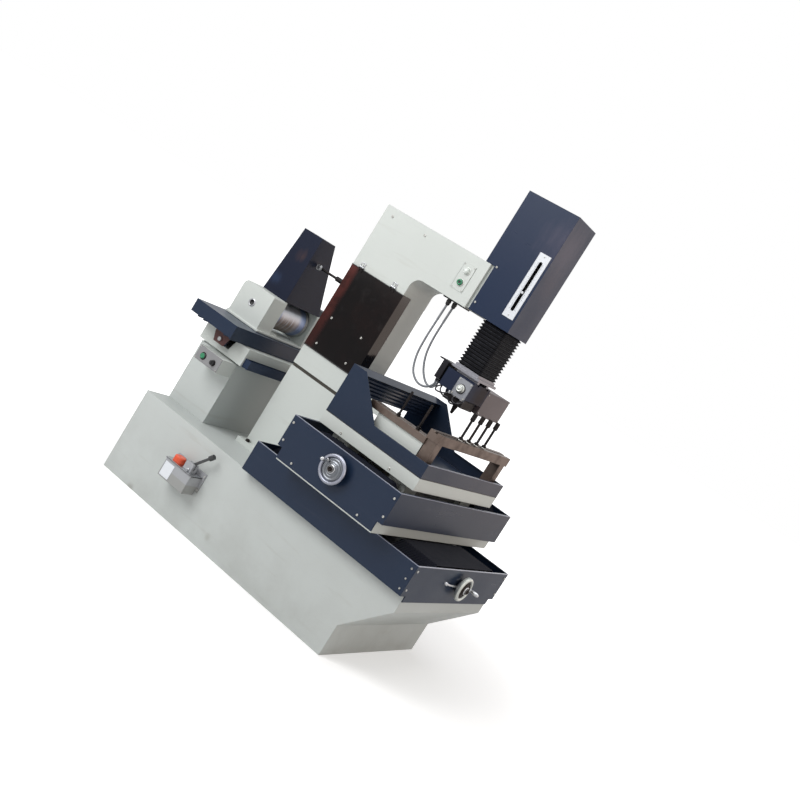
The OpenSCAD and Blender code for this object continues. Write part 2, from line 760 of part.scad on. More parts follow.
// Z base with its rails, and the motor that drives the screw
mount_t = 15;
mount_in = 14;
base_t = 36;
base_in = 32;
z_rail_y = 55;
z_rail_w = 20;
z_rail_t = 18;
cover_lift = 4;
cover_z_bottom = arm_z0 + cover_lift;
cover_top = cover_z_bottom + z_cover_h;
base_x0 = arm_x1 + mount_t;
base_x1 = base_x0 + base_t;
base_z0 = cover_z_bottom + cover_t;
motor_h = 105;
motor_w = 84;
motor_seat = 7;
motor_z0 = cover_top - cover_t - motor_seat - motor_h;
z_plate_t = 12;
base_z1 = motor_z0 - z_plate_t;
z_screw_out = 32;
z_screw_x = base_x1 + z_screw_out;
z_screw_d = 20;
shelf_t = 10;
z_plate_l = 126;

module z_base() color("gainsboro") {
    slab([arm_x1, base_x0], span(0, col_w - 2 * mount_in), [base_z0, arm_z1]);
    slab([base_x0, base_x1], span(0, z_cover_w - base_in), [base_z0, base_z1]);
    for (side = [-1, 1])
        slab([base_x1, base_x1 + z_rail_t], span(side * z_rail_y, z_rail_w), [base_z0, base_z1]);
    difference() {
        union() {
            slab([base_x0, base_x0 + z_plate_l], span(0, motor_w + base_in), [base_z1, motor_z0]);
            slab([base_x1, z_screw_x + z_screw_d], span(0, 2 * z_screw_d), [base_z0, base_z0 + shelf_t]);
        }
        rod_z(z_screw_d + 2 * run_fit, z_screw_x, 0, [base_z0 - over, motor_z0 + over]);
    }
}

module z_motor() color("dimgray") {
    slab(span(z_screw_x, motor_w), span(0, motor_w), [motor_z0, motor_z0 + motor_h]);
}

module z_screw() color("silver")
    rod_z(z_screw_d, z_screw_x, 0, [base_z0, motor_z0 - free_gap]);

// Z cover: a folded sheet hood round the slide, notched over the arm
cover_x1 = base_x0 + z_cover_l;
cover_y = z_cover_w / 2;
cover_back = 48;
scale_in = 39;
scale_up = 54;
scale_slot_up = [33, 268];
scale_x = cover_x1 - scale_in;
scale_w = 57;
scale_h = 303;
scale_z0 = cover_z_bottom + scale_up;
scale_t = 2;
scale_slot_w = 16;
scale_slot_z = [scale_z0 + scale_slot_up[0], scale_z0 + scale_slot_up[1]];
ram_in = 33;
ram_l = 85;
ram_x1 = cover_x1 - ram_in;
ram_x0 = ram_x1 - ram_l;
ram_w = 120;
ram_clear = 8;

module slot_cut(y) {
    slab(span(scale_x, scale_slot_w), y,
        [scale_slot_z[0] + scale_slot_w / 2, scale_slot_z[1] - scale_slot_w / 2]);
    for (z = [scale_slot_z[0] + scale_slot_w / 2, scale_slot_z[1] - scale_slot_w / 2])
        rod_y(scale_slot_w, scale_x, y, z);
}

module z_cover() color("darkslateblue") difference() {
    union() {
        slab([base_x0, cover_x1], span(0, z_cover_w), [cover_z_bottom, cover_top]);
        slab([base_x0 - cover_back, cover_x1], span(0, z_cover_w), [arm_z1, cover_top]);
    }
    slab([base_x0 - over, cover_x1 - cover_t], span(0, z_cover_w - 2 * cover_t), [base_z0, arm_z1]);
    slab([base_x0 - over, cover_x1 - cover_t], span(0, z_cover_w - 2 * cover_t),
        [arm_z1 - over, arm_z1 + cover_t + over]);
    slab([base_x0 - cover_back + cover_t, cover_x1 - cover_t], span(0, z_cover_w - 2 * cover_t),
        [arm_z1 + cover_t, cover_top - cover_t]);
    slab([ram_x0 - ram_clear, ram_x1 + ram_clear], span(0, ram_w + 2 * ram_clear),
        [cover_z_bottom - over, base_z0 + over]);
    slot_cut([-cover_y - over, -cover_y + cover_t + over]);
}

module z_scale() color("white") difference() {
    slab(span(scale_x, scale_w), [-cover_y - scale_t, -cover_y], [scale_z0, scale_z0 + scale_h]);
    slot_cut([-cover_y - scale_t - over, -cover_y + over]);
}

// Z ram with its guide blocks, nut and pointer
bellows_z0 = cover_z_bottom - bellows_h;
flange_t = 12;
ram_wall = 8;
ram_up = 303;
pointer_up = 174;
guide_drop = 4;
ram_top = cover_z_bottom + ram_up;
block_z_shares = [0.29, 0.76];
guide_block_h = 70;
guide_block_w = 44;
z_nut_h = 40;
z_nut_w = 40;
pointer_z = cover_z_bottom + pointer_up;
pointer_d = 6;
pointer_head_d = 10;
ram_air = 2;

module z_ram() color("silver") {
    difference() {
        slab([ram_x0, ram_x1], span(0, ram_w), [bellows_z0, ram_top]);
        slab([ram_x0 + ram_wall, ram_x1 - ram_wall], span(0, ram_w - 2 * ram_wall),
            [bellows_z0 + ram_wall, ram_top + over]);
    }
    for (share = block_z_shares, side = [-1, 1]) {
        z0 = cover_z_bottom + share * (ram_top - cover_z_bottom) - guide_drop;
        difference() {
            slab([base_x1 + ram_air, ram_x0], span(side * z_rail_y, guide_block_w), [z0, z0 + guide_block_h]);
            slab([base_x1 - over, base_x1 + z_rail_t + run_fit],
                span(side * z_rail_y, z_rail_w + 2 * run_fit),
                [z0 - over, z0 + guide_block_h + over]);
        }
    }
    difference() {
        nut_z = pointer_z;
        slab([z_screw_x - z_nut_w / 2, ram_x0], span(0, z_nut_w), [nut_z, nut_z + z_nut_h]);
        rod_z(z_screw_d + 2 * free_gap, z_screw_x, 0, [nut_z - over, nut_z + z_nut_h + over]);
    }
    rod_y(pointer_d, scale_x, [-cover_y - scale_t, -ram_w / 2], pointer_z);
    rod_y(pointer_head_d, scale_x, [-cover_y - 2 * scale_t, -cover_y - scale_t], pointer_z);
}

// Bellows round the ram: square folds, hollow all the way
bellows_out = 17;
bellows_x = [ram_x0 - bellows_out, ram_x1 + bellows_out];
bellows_w = 180;
fold_in = 8;
bellows_ring = folds * 2;

function bellows_points() = [for (i = [0 : bellows_ring])
    let (z = bellows_z0 + bellows_h * i / bellows_ring, d = (i % 2 == 0) ? fold_in : 0)
    for (c = [[bellows_x[0] + d, -bellows_w / 2 + d], [bellows_x[1] - d, -bellows_w / 2 + d],
        [bellows_x[1] - d, bellows_w / 2 - d], [bellows_x[0] + d, bellows_w / 2 - d]]) [c[0], c[1], z]];
function ring_faces(rings, sides) = [for (i = [0 : rings - 1], k = [0 : sides - 1])
    let (a = i * sides + k, b = i * sides + (k + 1) % sides)
    for (f = [[a, a + sides, b], [b, a + sides, b + sides]]) f];

module bellows() color("black") difference() {
    polyhedron(points = bellows_points(), faces = concat(ring_faces(bellows_ring, 4),
        [[0, 1, 2], [0, 2, 3]],
        [[bellows_ring * 4, bellows_ring * 4 + 2, bellows_ring * 4 + 1],
            [bellows_ring * 4, bellows_ring * 4 + 3, bellows_ring * 4 + 2]]), convexity = 10);
    slab([ram_x0 - ram_air * 2, ram_x1 + ram_air * 2], span(0, ram_w + ram_air * 4),
        [bellows_z0 - over, cover_z_bottom + over]);
}

// Head plate, taper slides, the box behind them and the nozzle below
plate_z1 = bellows_z0;
plate_mid = plate_z1 - flange_t;
plate_z0 = plate_mid - flange_t;
plate_out = 9;
strip_t = 6;
strip_reach = 66;
guide_h = 20;
guide_w = 20;
u_guide_y = 50;
u_guide_ends = [25, 6];
plate_lip = 3;
block_out = 23;
block_drop = 12;
block_x1 = ram_x1 + block_out;
block_x0 = block_x1 - block_l;
block_z1 = plate_z0 - block_drop;
block_z0 = block_z1 - block_h;
block_y = [-95, 85];
hose_out = 29;
hose_x = block_x0 - hose_out;
hose_y = [-72, -48];
manifold_w = 28;
manifold_h = 82;
fitting_d = 14;
fitting_h = 10;

module head_plate() color("lightgray") {
    slab([bellows_x[0] - plate_lip, bellows_x[1] + plate_lip], span(0, bellows_w + 2 * plate_lip),
        [plate_mid, plate_z1]);
    slab([bellows_x[0] - plate_out, block_x1 + plate_out], span(0, bellows_w + 2 * plate_out),
        [plate_z0, plate_mid]);
    for (side = [-1, 1])
        slab([block_x0 + u_guide_ends[0], block_x1 - u_guide_ends[1]], span(side * u_guide_y, guide_w),
            [plate_z0 - guide_h, plate_z0]);
    slab([block_x0 - strip_reach, bellows_x[0] - plate_out], [hose_y[0] - manifold_w / 2, manifold_w],
        [plate_z0, plate_z0 + strip_t]);
    slab(span(hose_x, manifold_w), [hose_y[0] - manifold_w / 2, hose_y[1] + manifold_w / 2],
        [plate_z0 - manifold_h, plate_z0]);
    for (y = hose_y) rod_z(fitting_d, hose_x, y, [plate_z0 - manifold_h - fitting_h, plate_z0 - manifold_h]);
}

u_motor_w = 42;
u_motor_l = 38;
u_motor_in = 17;
u_motor_y = 7;
u_shaft_d = 8;
module u_motor() color("dimgray") {
    x1 = block_x0 - u_motor_in;
    slab([x1 - u_motor_l, x1], span(u_motor_y, u_motor_w), [plate_z0 - u_motor_w, plate_z0]);
}

v_guide_x = 36;
v_guide_h = 8;
v_clear = 4;
face_plate_t = 7;
face_ends = [73, 3];
face_drop = 8;
knob_shift = [4, 2];
face_plate_x = [block_x0 + face_ends[0], block_x1 + face_ends[1]];
face_plate_z = [block_z0 - face_drop, block_z1 - face_drop];
knob_d = 36;
knob_h = 20;
knob_x = (face_plate_x[0] + face_plate_x[1]) / 2 - knob_shift[0];
knob_z = (face_plate_z[0] + face_plate_z[1]) / 2 - knob_shift[1];
knob_stub = 14;
v_carriage_ends = [30, 15];
v_guide_ends = [20, 5];
carriage_x = [block_x0 + v_carriage_ends[0], block_x1 - v_carriage_ends[1]];
carriage_y = 60;
carriage_v_h = 38;
carriage_v_z0 = block_z0 - v_clear - carriage_v_h;

module u_block() color("steelblue") difference() {
    union() {
        slab([block_x0, block_x1], block_y, [block_z0, block_z1]);
        slab(face_plate_x, [block_y[0] - face_plate_t, block_y[0]], face_plate_z);
        for (side = [-1, 1])
            slab(span((carriage_x[0] + carriage_x[1]) / 2 + side * v_guide_x, guide_w),
                [block_y[0] + v_guide_ends[0], block_y[1] - v_guide_ends[1]],
                [block_z0 - v_guide_h - v_clear, block_z0]);
    }
    for (side = [-1, 1])
        slab([block_x0 - over, block_x1 + over], span(side * u_guide_y, guide_w + 2 * run_fit),
            [plate_z0 - guide_h - run_fit, block_z1 + over]);
    rod_y(u_shaft_d + 2 * run_fit, knob_x, [block_y[0] - face_plate_t - over, block_y[0] + knob_stub],
        knob_z);
}

module v_knob() color("silver") {
    y0 = block_y[0] - face_plate_t - free_gap;
    rod_y(knob_d, knob_x, [y0 - knob_h, y0], knob_z);
    rod_y(u_shaft_d, knob_x, [y0, block_y[0] + knob_stub - over], knob_z);
}

head_box_drop = 39;
head_box_down = 10;
head_box_in = 5;
module head_box() color("rosybrown")
    slab([block_x0 + head_box_in, block_x1], [block_y[1], block_y[1] + box_l],
        [block_z0 - head_box_drop, block_z1 - head_box_down]);

upper_nozzle_h = 44;
nozzle_tip_d = 12;
upper_wheel_z = carriage_v_z0 + small_wheel_d / 2;
module v_carriage() color("silver") {
    mid = (carriage_x[0] + carriage_x[1]) / 2;
    difference() {
        union() {
            slab(carriage_x, span(0, 2 * carriage_y), [carriage_v_z0, block_z0 - v_clear]);
            translate([wire_x, 0, carriage_v_z0 - upper_nozzle_h])
                cylinder(d1 = nozzle_tip_d, d2 = nozzle_d, h = upper_nozzle_h);
        }
        for (side = [-1, 1])
            slab(span(mid + side * v_guide_x, guide_w + 2 * run_fit), span(0, 2 * carriage_y + 2 * over),
                [block_z0 - v_clear - v_guide_h - run_fit, block_z0]);
        slab([small_wheel_x - small_wheel_d / 2 - arm_skin, wire_x + arm_skin], span(0, wheel_slot_w),
            [carriage_v_z0 - over, block_z0]);
        rod_z(wire_bore, wire_x, 0, [carriage_v_z0 - upper_nozzle_h - over, carriage_v_z0 + over]);
    }
    rod_y(fork_pin_d, small_wheel_x, span(0, wheel_slot_w + over), upper_wheel_z);
}
module upper_wheel() color("silver")
    guide_wheel(small_wheel_d, small_wheel_t, fork_pin_d + 2 * run_fit, small_wheel_x,
        -small_wheel_t / 2, upper_wheel_z);

// Hoses from the glands under the arm to the head
gland_x = [176, 196];
gland_h = 22;
gland_d = 18;
gland_plate_t = 6;
gland_plate_x = [150, 262];
gland_plate_y = [-96, -26];
hose_d = 10;
hose_sides = 8;
hose_steps = 5;
hose_route_1 = [[176, -72, 1445], [174, -72, 1360], [173, -72, 1270], [180, -72, 1190], [206, -72, 1124],
    [252, -72, 1092], [298, -72, 1096], [324, -72, 1122], [326, -72, 1146]];
hose_route_2 = [[196, -48, 1445], [194, -48, 1360], [195, -48, 1280], [206, -48, 1210], [234, -48, 1150],
    [272, -48, 1112], [306, -48, 1104], [324, -48, 1124], [326, -48, 1146]];

function spline(p, i, t) =
    let (a = p[max(i - 1, 0)], b = p[i], c = p[i + 1], d = p[min(i + 2, len(p) - 1)])
    0.5 * (2 * b + (c - a) * t + (2 * a - 5 * b + 4 * c - d) * t * t + (3 * b - a - 3 * c + d) * t * t * t);
function route(p) = concat([for (i = [0 : len(p) - 2], k = [0 : hose_steps - 1])
    spline(p, i, k / hose_steps)], [p[len(p) - 1]]);
function unit(v) = v / norm(v);

module hose(points) {
    line = route(points);
    n = len(line);
    rings = [for (i = [0 : n - 1]) let (
            t = (i == 0 || i == n - 1) ? [0, 0, i == 0 ? -1 : 1] : unit(line[i + 1] - line[i - 1]),
            side = [0, 1, 0], up = cross(t, side))
        for (k = [0 : hose_sides - 1]) let (a = 360 * k / hose_sides)
            line[i] + hose_d / 2 * (cos(a) * side + sin(a) * up)];
    polyhedron(points = rings, faces = concat(
        [for (i = [0 : n - 2], k = [0 : hose_sides - 1])
            let (a = i * hose_sides + k, b = i * hose_sides + (k + 1) % hose_sides)
            for (f = [[a, b, a + hose_sides], [b, b + hose_sides, a + hose_sides]]) f],
        [[for (k = [hose_sides - 1 : -1 : 0]) k], [for (k = [0 : hose_sides - 1]) (n - 1) * hose_sides + k]]),
        convexity = 10);
}

module head_hoses() color("slategray") {
    hose(hose_route_1);
    hose(hose_route_2);
}

module hose_glands() color("black") {
    slab(gland_plate_x, gland_plate_y, [arm_z0 - gland_plate_t, arm_z0]);
    for (i = [0, 1]) {
        rod_z(gland_d, gland_x[i], hose_y[i], [arm_z0 - gland_plate_t - gland_h, arm_z0 - gland_plate_t]);
    }
}

// Drum pedestal, way base and tray at the rear of the bed
pedestal_in = 4;
pedestal_l = 242;
pedestal_x = [-foot_x + pedestal_in, -foot_x + pedestal_in + pedestal_l];
shim_h = 10;
shim_in = 6;
pedestal_z1 = bed_h + pedestal_h;
way_base_out = [8, 30];
way_base_end = 20;
way_base_x = [pedestal_x[0] - way_base_out[0], pedestal_x[1] + way_base_out[1]];
way_base_w = pedestal_w + 2 * way_base_end;
way_z0 = pedestal_z1 + shim_h;
way_z1 = way_z0 + way_base_h;
groove_mid = (way_base_x[0] + way_base_x[1]) / 2;
groove_top = 57;
groove_low = 36;
groove_deep = 56;
drum_rail_w = 24;
drum_rail_h = 18;
drum_rail_in = [34, 70];
drum_rail_x = [way_base_x[0] + drum_rail_in[0], way_base_x[1] - drum_rail_in[1]];
traverse_d = 20;
traverse_x = groove_mid;
traverse_drop = 32;
traverse_z = way_z1 - traverse_drop;
traverse_nut = 34;

module drum_pedestal() color("gainsboro") {
    slab(pedestal_x, span(0, pedestal_w), [bed_h, pedestal_z1]);
    slab([pedestal_x[0] + shim_in, pedestal_x[1] - shim_in], span(0, pedestal_w - 2 * shim_in),
        [pedestal_z1, way_z0]);
}

module way_base() color("gainsboro") {
    difference() {
        slab(way_base_x, span(0, way_base_w), [way_z0, way_z1]);
        prism_y([[groove_mid - groove_top, way_z1 + over], [groove_mid - groove_low, way_z1 - groove_deep],
            [groove_mid + groove_low, way_z1 - groove_deep], [groove_mid + groove_top, way_z1 + over]],
            span(0, way_base_w + 2 * over));
    }
    for (x = drum_rail_x) slab(span(x, drum_rail_w), span(0, way_base_w), [way_z1, way_z1 + drum_rail_h]);
    difference() {
        slab(span(traverse_x, traverse_nut), span(0, traverse_nut),
            [way_z1 - groove_deep, traverse_z + traverse_nut / 2]);
        rod_y(traverse_d + 2 * free_gap, traverse_x, span(0, traverse_nut + 2 * over), traverse_z);
    }
}

tray_w = 34;
tray_h = 42;
tray_t = 3;
tray_y = [-290, 250];
tray_up = 2;
module side_tray() color("steelblue") difference() {
    z0 = way_z0 + tray_up;
    slab([way_base_x[1], way_base_x[1] + tray_w], tray_y, [z0, z0 + tray_h]);
    slab([way_base_x[1] + tray_t, way_base_x[1] + tray_w - tray_t], [tray_y[0] + tray_t, tray_y[1] - tray_t],
        [z0 + tray_t, z0 + tray_h + over]);
}

box_size = [151, 105, 69];
box_in = 89;
box_drop = 66;
box_controls_up = 30;
box_controls_in = [44, 110];
box_x0 = pedestal_x[0] + box_in;
box_y0 = -pedestal_w / 2 - box_size[1];
box_z0 = pedestal_z1 - box_drop;
box_controls_z = box_z0 + box_controls_up;
box_button_x = box_x0 + box_controls_in[0];
box_knob_x = box_x0 + box_controls_in[1];
box_button_d = 18;
box_hole = 12;
box_stub_d = 8;
box_stub = 10;
box_knob_d = 22;
module control_box() color("gainsboro") difference() {
    slab([box_x0, box_x0 + box_size[0]], [box_y0, box_y0 + box_size[1]], [box_z0, box_z0 + box_size[2]]);
    rod_y(box_button_d + 2 * free_gap, box_button_x, [box_y0 - over, box_y0 + box_hole], box_controls_z);
    rod_y(box_stub_d + 2 * run_fit, box_knob_x, [box_y0 - over, box_y0 + box_hole], box_controls_z);
}
module box_button() color("seagreen")
    rod_y(box_button_d, box_button_x, [box_y0 - button_h, box_y0 + box_hole - button_travel - over],
        box_controls_z);
module box_knob() color("black") {
    rod_y(box_knob_d, box_knob_x, [box_y0 - free_gap - 2 * button_h, box_y0 - free_gap], box_controls_z);
    rod_y(box_stub_d, box_knob_x, [box_y0 - free_gap, box_y0 + box_stub], box_controls_z);
}

// Drum carriage: a skirted cover casting that slides on the way base
skirt_gap = 8;
skirt_t = 8;
deck_t = 24;
carriage_dx = [-34, 236];
carriage_span = [-410, 450];
carriage_x0 = way_base_x[0] + carriage_dx[0];
carriage_x1 = way_base_x[0] + carriage_dx[1];
carriage_z0 = way_z1 + skirt_gap;
carriage_z1 = carriage_z0 + carriage_h;
slider_w = 50;
hanger_t = 20;
hanger_y = [-330, 330];
hanger_air = 6;
slider_air = 2;
module drum_carriage() color("darkslateblue") {
    difference() {
        slab([carriage_x0, carriage_x1], carriage_span, [carriage_z0, carriage_z1]);
        slab([carriage_x0 + skirt_t, carriage_x1 - skirt_t],
            [carriage_span[0] + skirt_t, carriage_span[1] - skirt_t],
            [carriage_z0 - over, carriage_z1 - deck_t]);
    }
    for (x = drum_rail_x) difference() {
        slab(span(x, slider_w), [carriage_span[0] + skirt_t, carriage_span[1] - skirt_t],
            [way_z1 + slider_air, carriage_z1 - deck_t]);
        slab(span(x, drum_rail_w + 2 * run_fit), [carriage_span[0], carriage_span[1]],
            [carriage_z0 - skirt_gap, way_z1 + drum_rail_h + run_fit]);
    }
    for (y = hanger_y) difference() {
        slab(span(traverse_x, 2 * (groove_low - hanger_air)), span(y, hanger_t),
            [traverse_z - traverse_d, carriage_z1 - deck_t]);
        rod_y(traverse_d + 2 * run_fit, traverse_x, span(y, hanger_t + 2 * over), traverse_z);
    }
}
module traverse_screw() color("silver")
    rod_y(traverse_d, traverse_x, [hanger_y[0] - hanger_t, hanger_y[1] + hanger_t], traverse_z);

// Drum, its brackets, motor and hood
drum_up = 101;
drum_in = 120;
drum_z = carriage_z1 + drum_up;
drum_x = carriage_x0 + drum_in;
drum_y0 = -85;
drum_y1 = drum_y0 + drum_l;
drum_wall = 8;
drum_rim = 4;
drum_rim_w = 8;
shaft_d = 25;
bracket_w = 195;
bracket_t = 112;
bracket_h = 180;
bracket_r = 28;
bracket_gap = 8;
bracket_foot = 16;
bracket_foot_h = 22;
far_bracket_t = 36;
near_y1 = drum_y0 - bracket_gap;
near_y0 = near_y1 - bracket_t;
far_y0 = drum_y1 + bracket_gap;
rib_in = 40;
rib_l = 50;
rib_h = 20;
shaft_in = 6;
coupling_gap = 3;
coupling_d = 50;
coupling_l = 36;
motor_drum_d = 125;
motor_gap = 6;
motor_in = 14;
motor_flange_out = 7;
motor_flange_t = 12;
motor_foot_in = 20;
motor_foot_h = 12;
motor_y0 = far_y0 + far_bracket_t + coupling_l + motor_gap;
motor_y1 = carriage_span[1] - motor_in;

function bracket_profile() = concat(
    [[drum_x - bracket_w / 2 - bracket_foot, carriage_z1],
        [drum_x + bracket_w / 2 + bracket_foot / 4, carriage_z1],
        [drum_x + bracket_w / 2, carriage_z1 + bracket_foot_h]],
    arc(drum_x + bracket_w / 2 - bracket_r / 3, carriage_z1 + bracket_h - bracket_r / 3, bracket_r / 3,
        0, 90, 4),
    arc(drum_x - bracket_w / 2 + bracket_r, carriage_z1 + bracket_h - bracket_r, bracket_r, 90, 180, 8),
    [[drum_x - bracket_w / 2, carriage_z1 + bracket_foot_h]]);

module drum_brackets() color("gainsboro") difference() {
    union() {
        prism_y(bracket_profile(), [near_y0, near_y1]);
        prism_y(bracket_profile(), [far_y0, far_y0 + far_bracket_t]);
        slab([drum_x + rib_in, drum_x + bracket_w / 2 + bracket_foot / 4], [near_y1, near_y1 + rib_l],
            [carriage_z1, carriage_z1 + rib_h]);
    }
    rod_y(shaft_d + 2 * run_fit, drum_x, [near_y0 - over, far_y0 + far_bracket_t + over], drum_z);
}

module wire_drum() color("silver") {
    rod_y(shaft_d, drum_x, [near_y0 + shaft_in, far_y0 + far_bracket_t + coupling_l], drum_z);
    rod_y(coupling_d, drum_x,
        [far_y0 + far_bracket_t + coupling_gap, far_y0 + far_bracket_t + coupling_l], drum_z);
    translate([drum_x, drum_y0, drum_z]) rotate([-90, 0, 0]) rotate_extrude($fn = 96)
        polygon([[shaft_d / 2, 0], [drum_d / 2 + drum_rim, 0], [drum_d / 2 + drum_rim, drum_rim_w],
            [drum_d / 2, drum_rim_w + drum_rim], [drum_d / 2, drum_l - drum_rim_w - drum_rim],
            [drum_d / 2 + drum_rim, drum_l - drum_rim_w], [drum_d / 2 + drum_rim, drum_l],
            [shaft_d / 2, drum_l], [shaft_d / 2, drum_l - drum_rim_w],
                [drum_d / 2 - drum_wall, drum_l - drum_rim_w],
            [drum_d / 2 - drum_wall, drum_rim_w], [shaft_d / 2, drum_rim_w]]);
}

module drum_motor() color("dimgray") {
    rod_y(motor_drum_d, drum_x, [motor_y0, motor_y1], drum_z);
    rod_y(motor_drum_d + 2 * motor_flange_out, drum_x, [motor_y0, motor_y0 + motor_flange_t], drum_z);
    slab(span(drum_x, motor_drum_d), [motor_y0 + motor_foot_in, motor_y1 - motor_foot_in],
        [carriage_z1, carriage_z1 + motor_foot_h]);
    slab(span(drum_x, motor_drum_d / 2), [motor_y0 + motor_foot_in, motor_y1 - motor_foot_in],
        [carriage_z1, drum_z]);
}

// Hood: a sheet chimney over the drum, narrower at its top
hood_t = 2.5;
hood_z0 = carriage_z1 + bracket_h;
hood_out = [60, 92];
hood_lap = [18, 14];
hood_lean = 34;
hood_top_w = 116;
hood_x = [drum_x - hood_out[0], drum_x + hood_out[1]];
hood_y = [near_y1 - hood_lap[0], far_y0 + hood_lap[1]];
hood_top_x = [hood_x[0] + hood_lean, hood_x[1]];
hood_top_y = [hood_y[0], hood_y[0] + hood_top_w];
module frustum(x0, x1, y, ty, z, inset) {
    p = [[x0[0] + inset, y[0] + inset, z[0]], [x0[1] - inset, y[0] + inset, z[0]],
        [x0[1] - inset, y[1] - inset, z[0]], [x0[0] + inset, y[1] - inset, z[0]],
        [x1[0] + inset, ty[0] + inset, z[1]], [x1[1] - inset, ty[0] + inset, z[1]],
        [x1[1] - inset, ty[1] - inset, z[1]], [x1[0] + inset, ty[1] - inset, z[1]]];
    polyhedron(points = p, faces = [[0, 1, 2, 3], [4, 7, 6, 5], [0, 4, 5, 1], [1, 5, 6, 2], [2, 6, 7, 3],
        [3, 7, 4, 0]]);
}
module drum_hood() color("darkslateblue") difference() {
    frustum(hood_x, hood_top_x, hood_y, hood_top_y, [hood_z0, hood_z0 + hood_h], 0);
    frustum(hood_x, hood_top_x, hood_y, hood_top_y, [hood_z0 - over, hood_z0 + hood_h - hood_t], hood_t);
}

// Hand oil pump on the bed's side
oil_x = -281;
oil_z = 165;
oil_y1 = -bed_w / 2;
bracket_plate_t = 5;
oil_y = oil_y1 - bracket_plate_t;
oil_mid_y = oil_y - oil_d / 2;
plate_ear = 14;
pump_head_w = 46;
pump_head_h = 38;
pump_in = 26;
pump_head_share = 0.8;
pump_x = oil_x + pump_in;
cap_d = 52;
cap_h = 26;
cap_in = 44;
cap_x = oil_x - cap_in;
lever_d = 14;
pivot_d = 10;
lever_l = 98;
lever_a = 50;
lever_t = 10;
pump_knob_d = 24;
lid_t = 6;
module oil_pump() color("silver") {
    slab(span(oil_x, oil_w), [oil_y - oil_d, oil_y], [oil_z, oil_z + oil_h]);
    slab(span(oil_x, oil_w + 2 * plate_ear), [oil_y, oil_y1],
        [oil_z + oil_h / 4, oil_z + oil_h + 2 * plate_ear]);
    slab(span(oil_x, oil_w + lid_t), [oil_y - oil_d - lid_t / 2, oil_y],
        [oil_z + oil_h, oil_z + oil_h + lid_t]);
    difference() {
        slab(span(pump_x, pump_head_w), span(oil_mid_y, pump_head_w * pump_head_share),
            [oil_z + oil_h + lid_t, oil_z + oil_h + lid_t + pump_head_h]);
        slab([pump_x - lever_d, pump_x + pump_head_w], span(oil_mid_y, lever_t + 2 * free_gap),
            [oil_z + oil_h + lid_t + lever_t, oil_z + oil_h + lid_t + pump_head_h + over]);
    }
    rod_y(pivot_d, pump_x, span(oil_mid_y, lever_t + over), oil_z + oil_h + lid_t + pump_head_h - lever_d);
}
module oil_cap() color("orangered")
    rod_z(cap_d, cap_x, oil_mid_y, [oil_z + oil_h + lid_t, oil_z + oil_h + lid_t + cap_h]);
module pump_lever() color("black")
    translate([pump_x, oil_mid_y, oil_z + oil_h + lid_t + pump_head_h - lever_d]) rotate([0, -lever_a, 0]) {
        difference() {
            union() {
                rod_y(lever_d, 0, span(0, lever_t), 0);
                slab([0, lever_l], span(0, lever_t), span(0, lever_t));
            }
            rod_y(pivot_d + 2 * run_fit, 0, span(0, lever_t + 2 * over), 0);
        }
        rod_x(pump_knob_d, [lever_l, lever_l + pump_knob_d], 0, 0);
    }

bed();
lower_trough();
x_ways();
column_base();
insulating_plate();
c_frame();
guide_rod();
arm_panel();
arm_lamp();
arm_button();
hose_glands();
lower_arm();
z_base();
z_cover();
z_scale();
z_motor();
drum_pedestal();
way_base();
side_tray();
control_box();
oil_pump();
oil_cap();
pump_lever();
saddle_casting();
saddle_trough();
y_ways();
x_screw();
x_handwheel();
x_grip();
table_casting();
water_tank();
clamp_rails();
clamp_bolts();
y_screw();
y_handwheel();
y_grip();
z_ram();
bellows();
head_plate();
u_motor();
z_screw();
u_block();
v_knob();
head_box();
v_carriage();
guide_wheel_top();
guide_wheel_low();
rod_wheel();
upper_wheel();
lower_wheel();
head_hoses();
drum_carriage();
drum_brackets();
drum_hood();
drum_motor();
wire_drum();
traverse_screw();
smoked_cover();
box_button();
box_knob();
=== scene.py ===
import math
from itertools import product

import bmesh
import bpy
import numpy as np
from mathutils import Matrix, Vector


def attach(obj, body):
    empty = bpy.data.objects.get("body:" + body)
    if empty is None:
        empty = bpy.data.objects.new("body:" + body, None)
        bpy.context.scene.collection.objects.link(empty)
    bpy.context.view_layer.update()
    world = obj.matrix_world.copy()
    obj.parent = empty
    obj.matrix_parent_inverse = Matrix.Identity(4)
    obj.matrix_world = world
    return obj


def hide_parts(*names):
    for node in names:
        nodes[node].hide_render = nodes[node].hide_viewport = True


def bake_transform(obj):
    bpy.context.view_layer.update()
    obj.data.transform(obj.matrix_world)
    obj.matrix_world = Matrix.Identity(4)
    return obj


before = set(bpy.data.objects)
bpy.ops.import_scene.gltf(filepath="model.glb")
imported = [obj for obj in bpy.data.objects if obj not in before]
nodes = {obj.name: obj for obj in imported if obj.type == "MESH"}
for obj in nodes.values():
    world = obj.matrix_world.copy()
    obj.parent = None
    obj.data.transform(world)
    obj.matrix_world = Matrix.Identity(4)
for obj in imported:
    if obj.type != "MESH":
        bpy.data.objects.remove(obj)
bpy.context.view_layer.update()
print("frame loaded with", len(nodes), "nodes")

# The picture is taken from the operator's corner and lies over by a third of a right angle
view = {"place": (2.4689, -4.375, 1.4771), "yaw": 28.3, "pitch": -6.4, "level": 1.3, "lean": 30.5,
        "lens": 50.28, "film": 36, "reach": 200, "shift": (0.0239, 0.0024)}


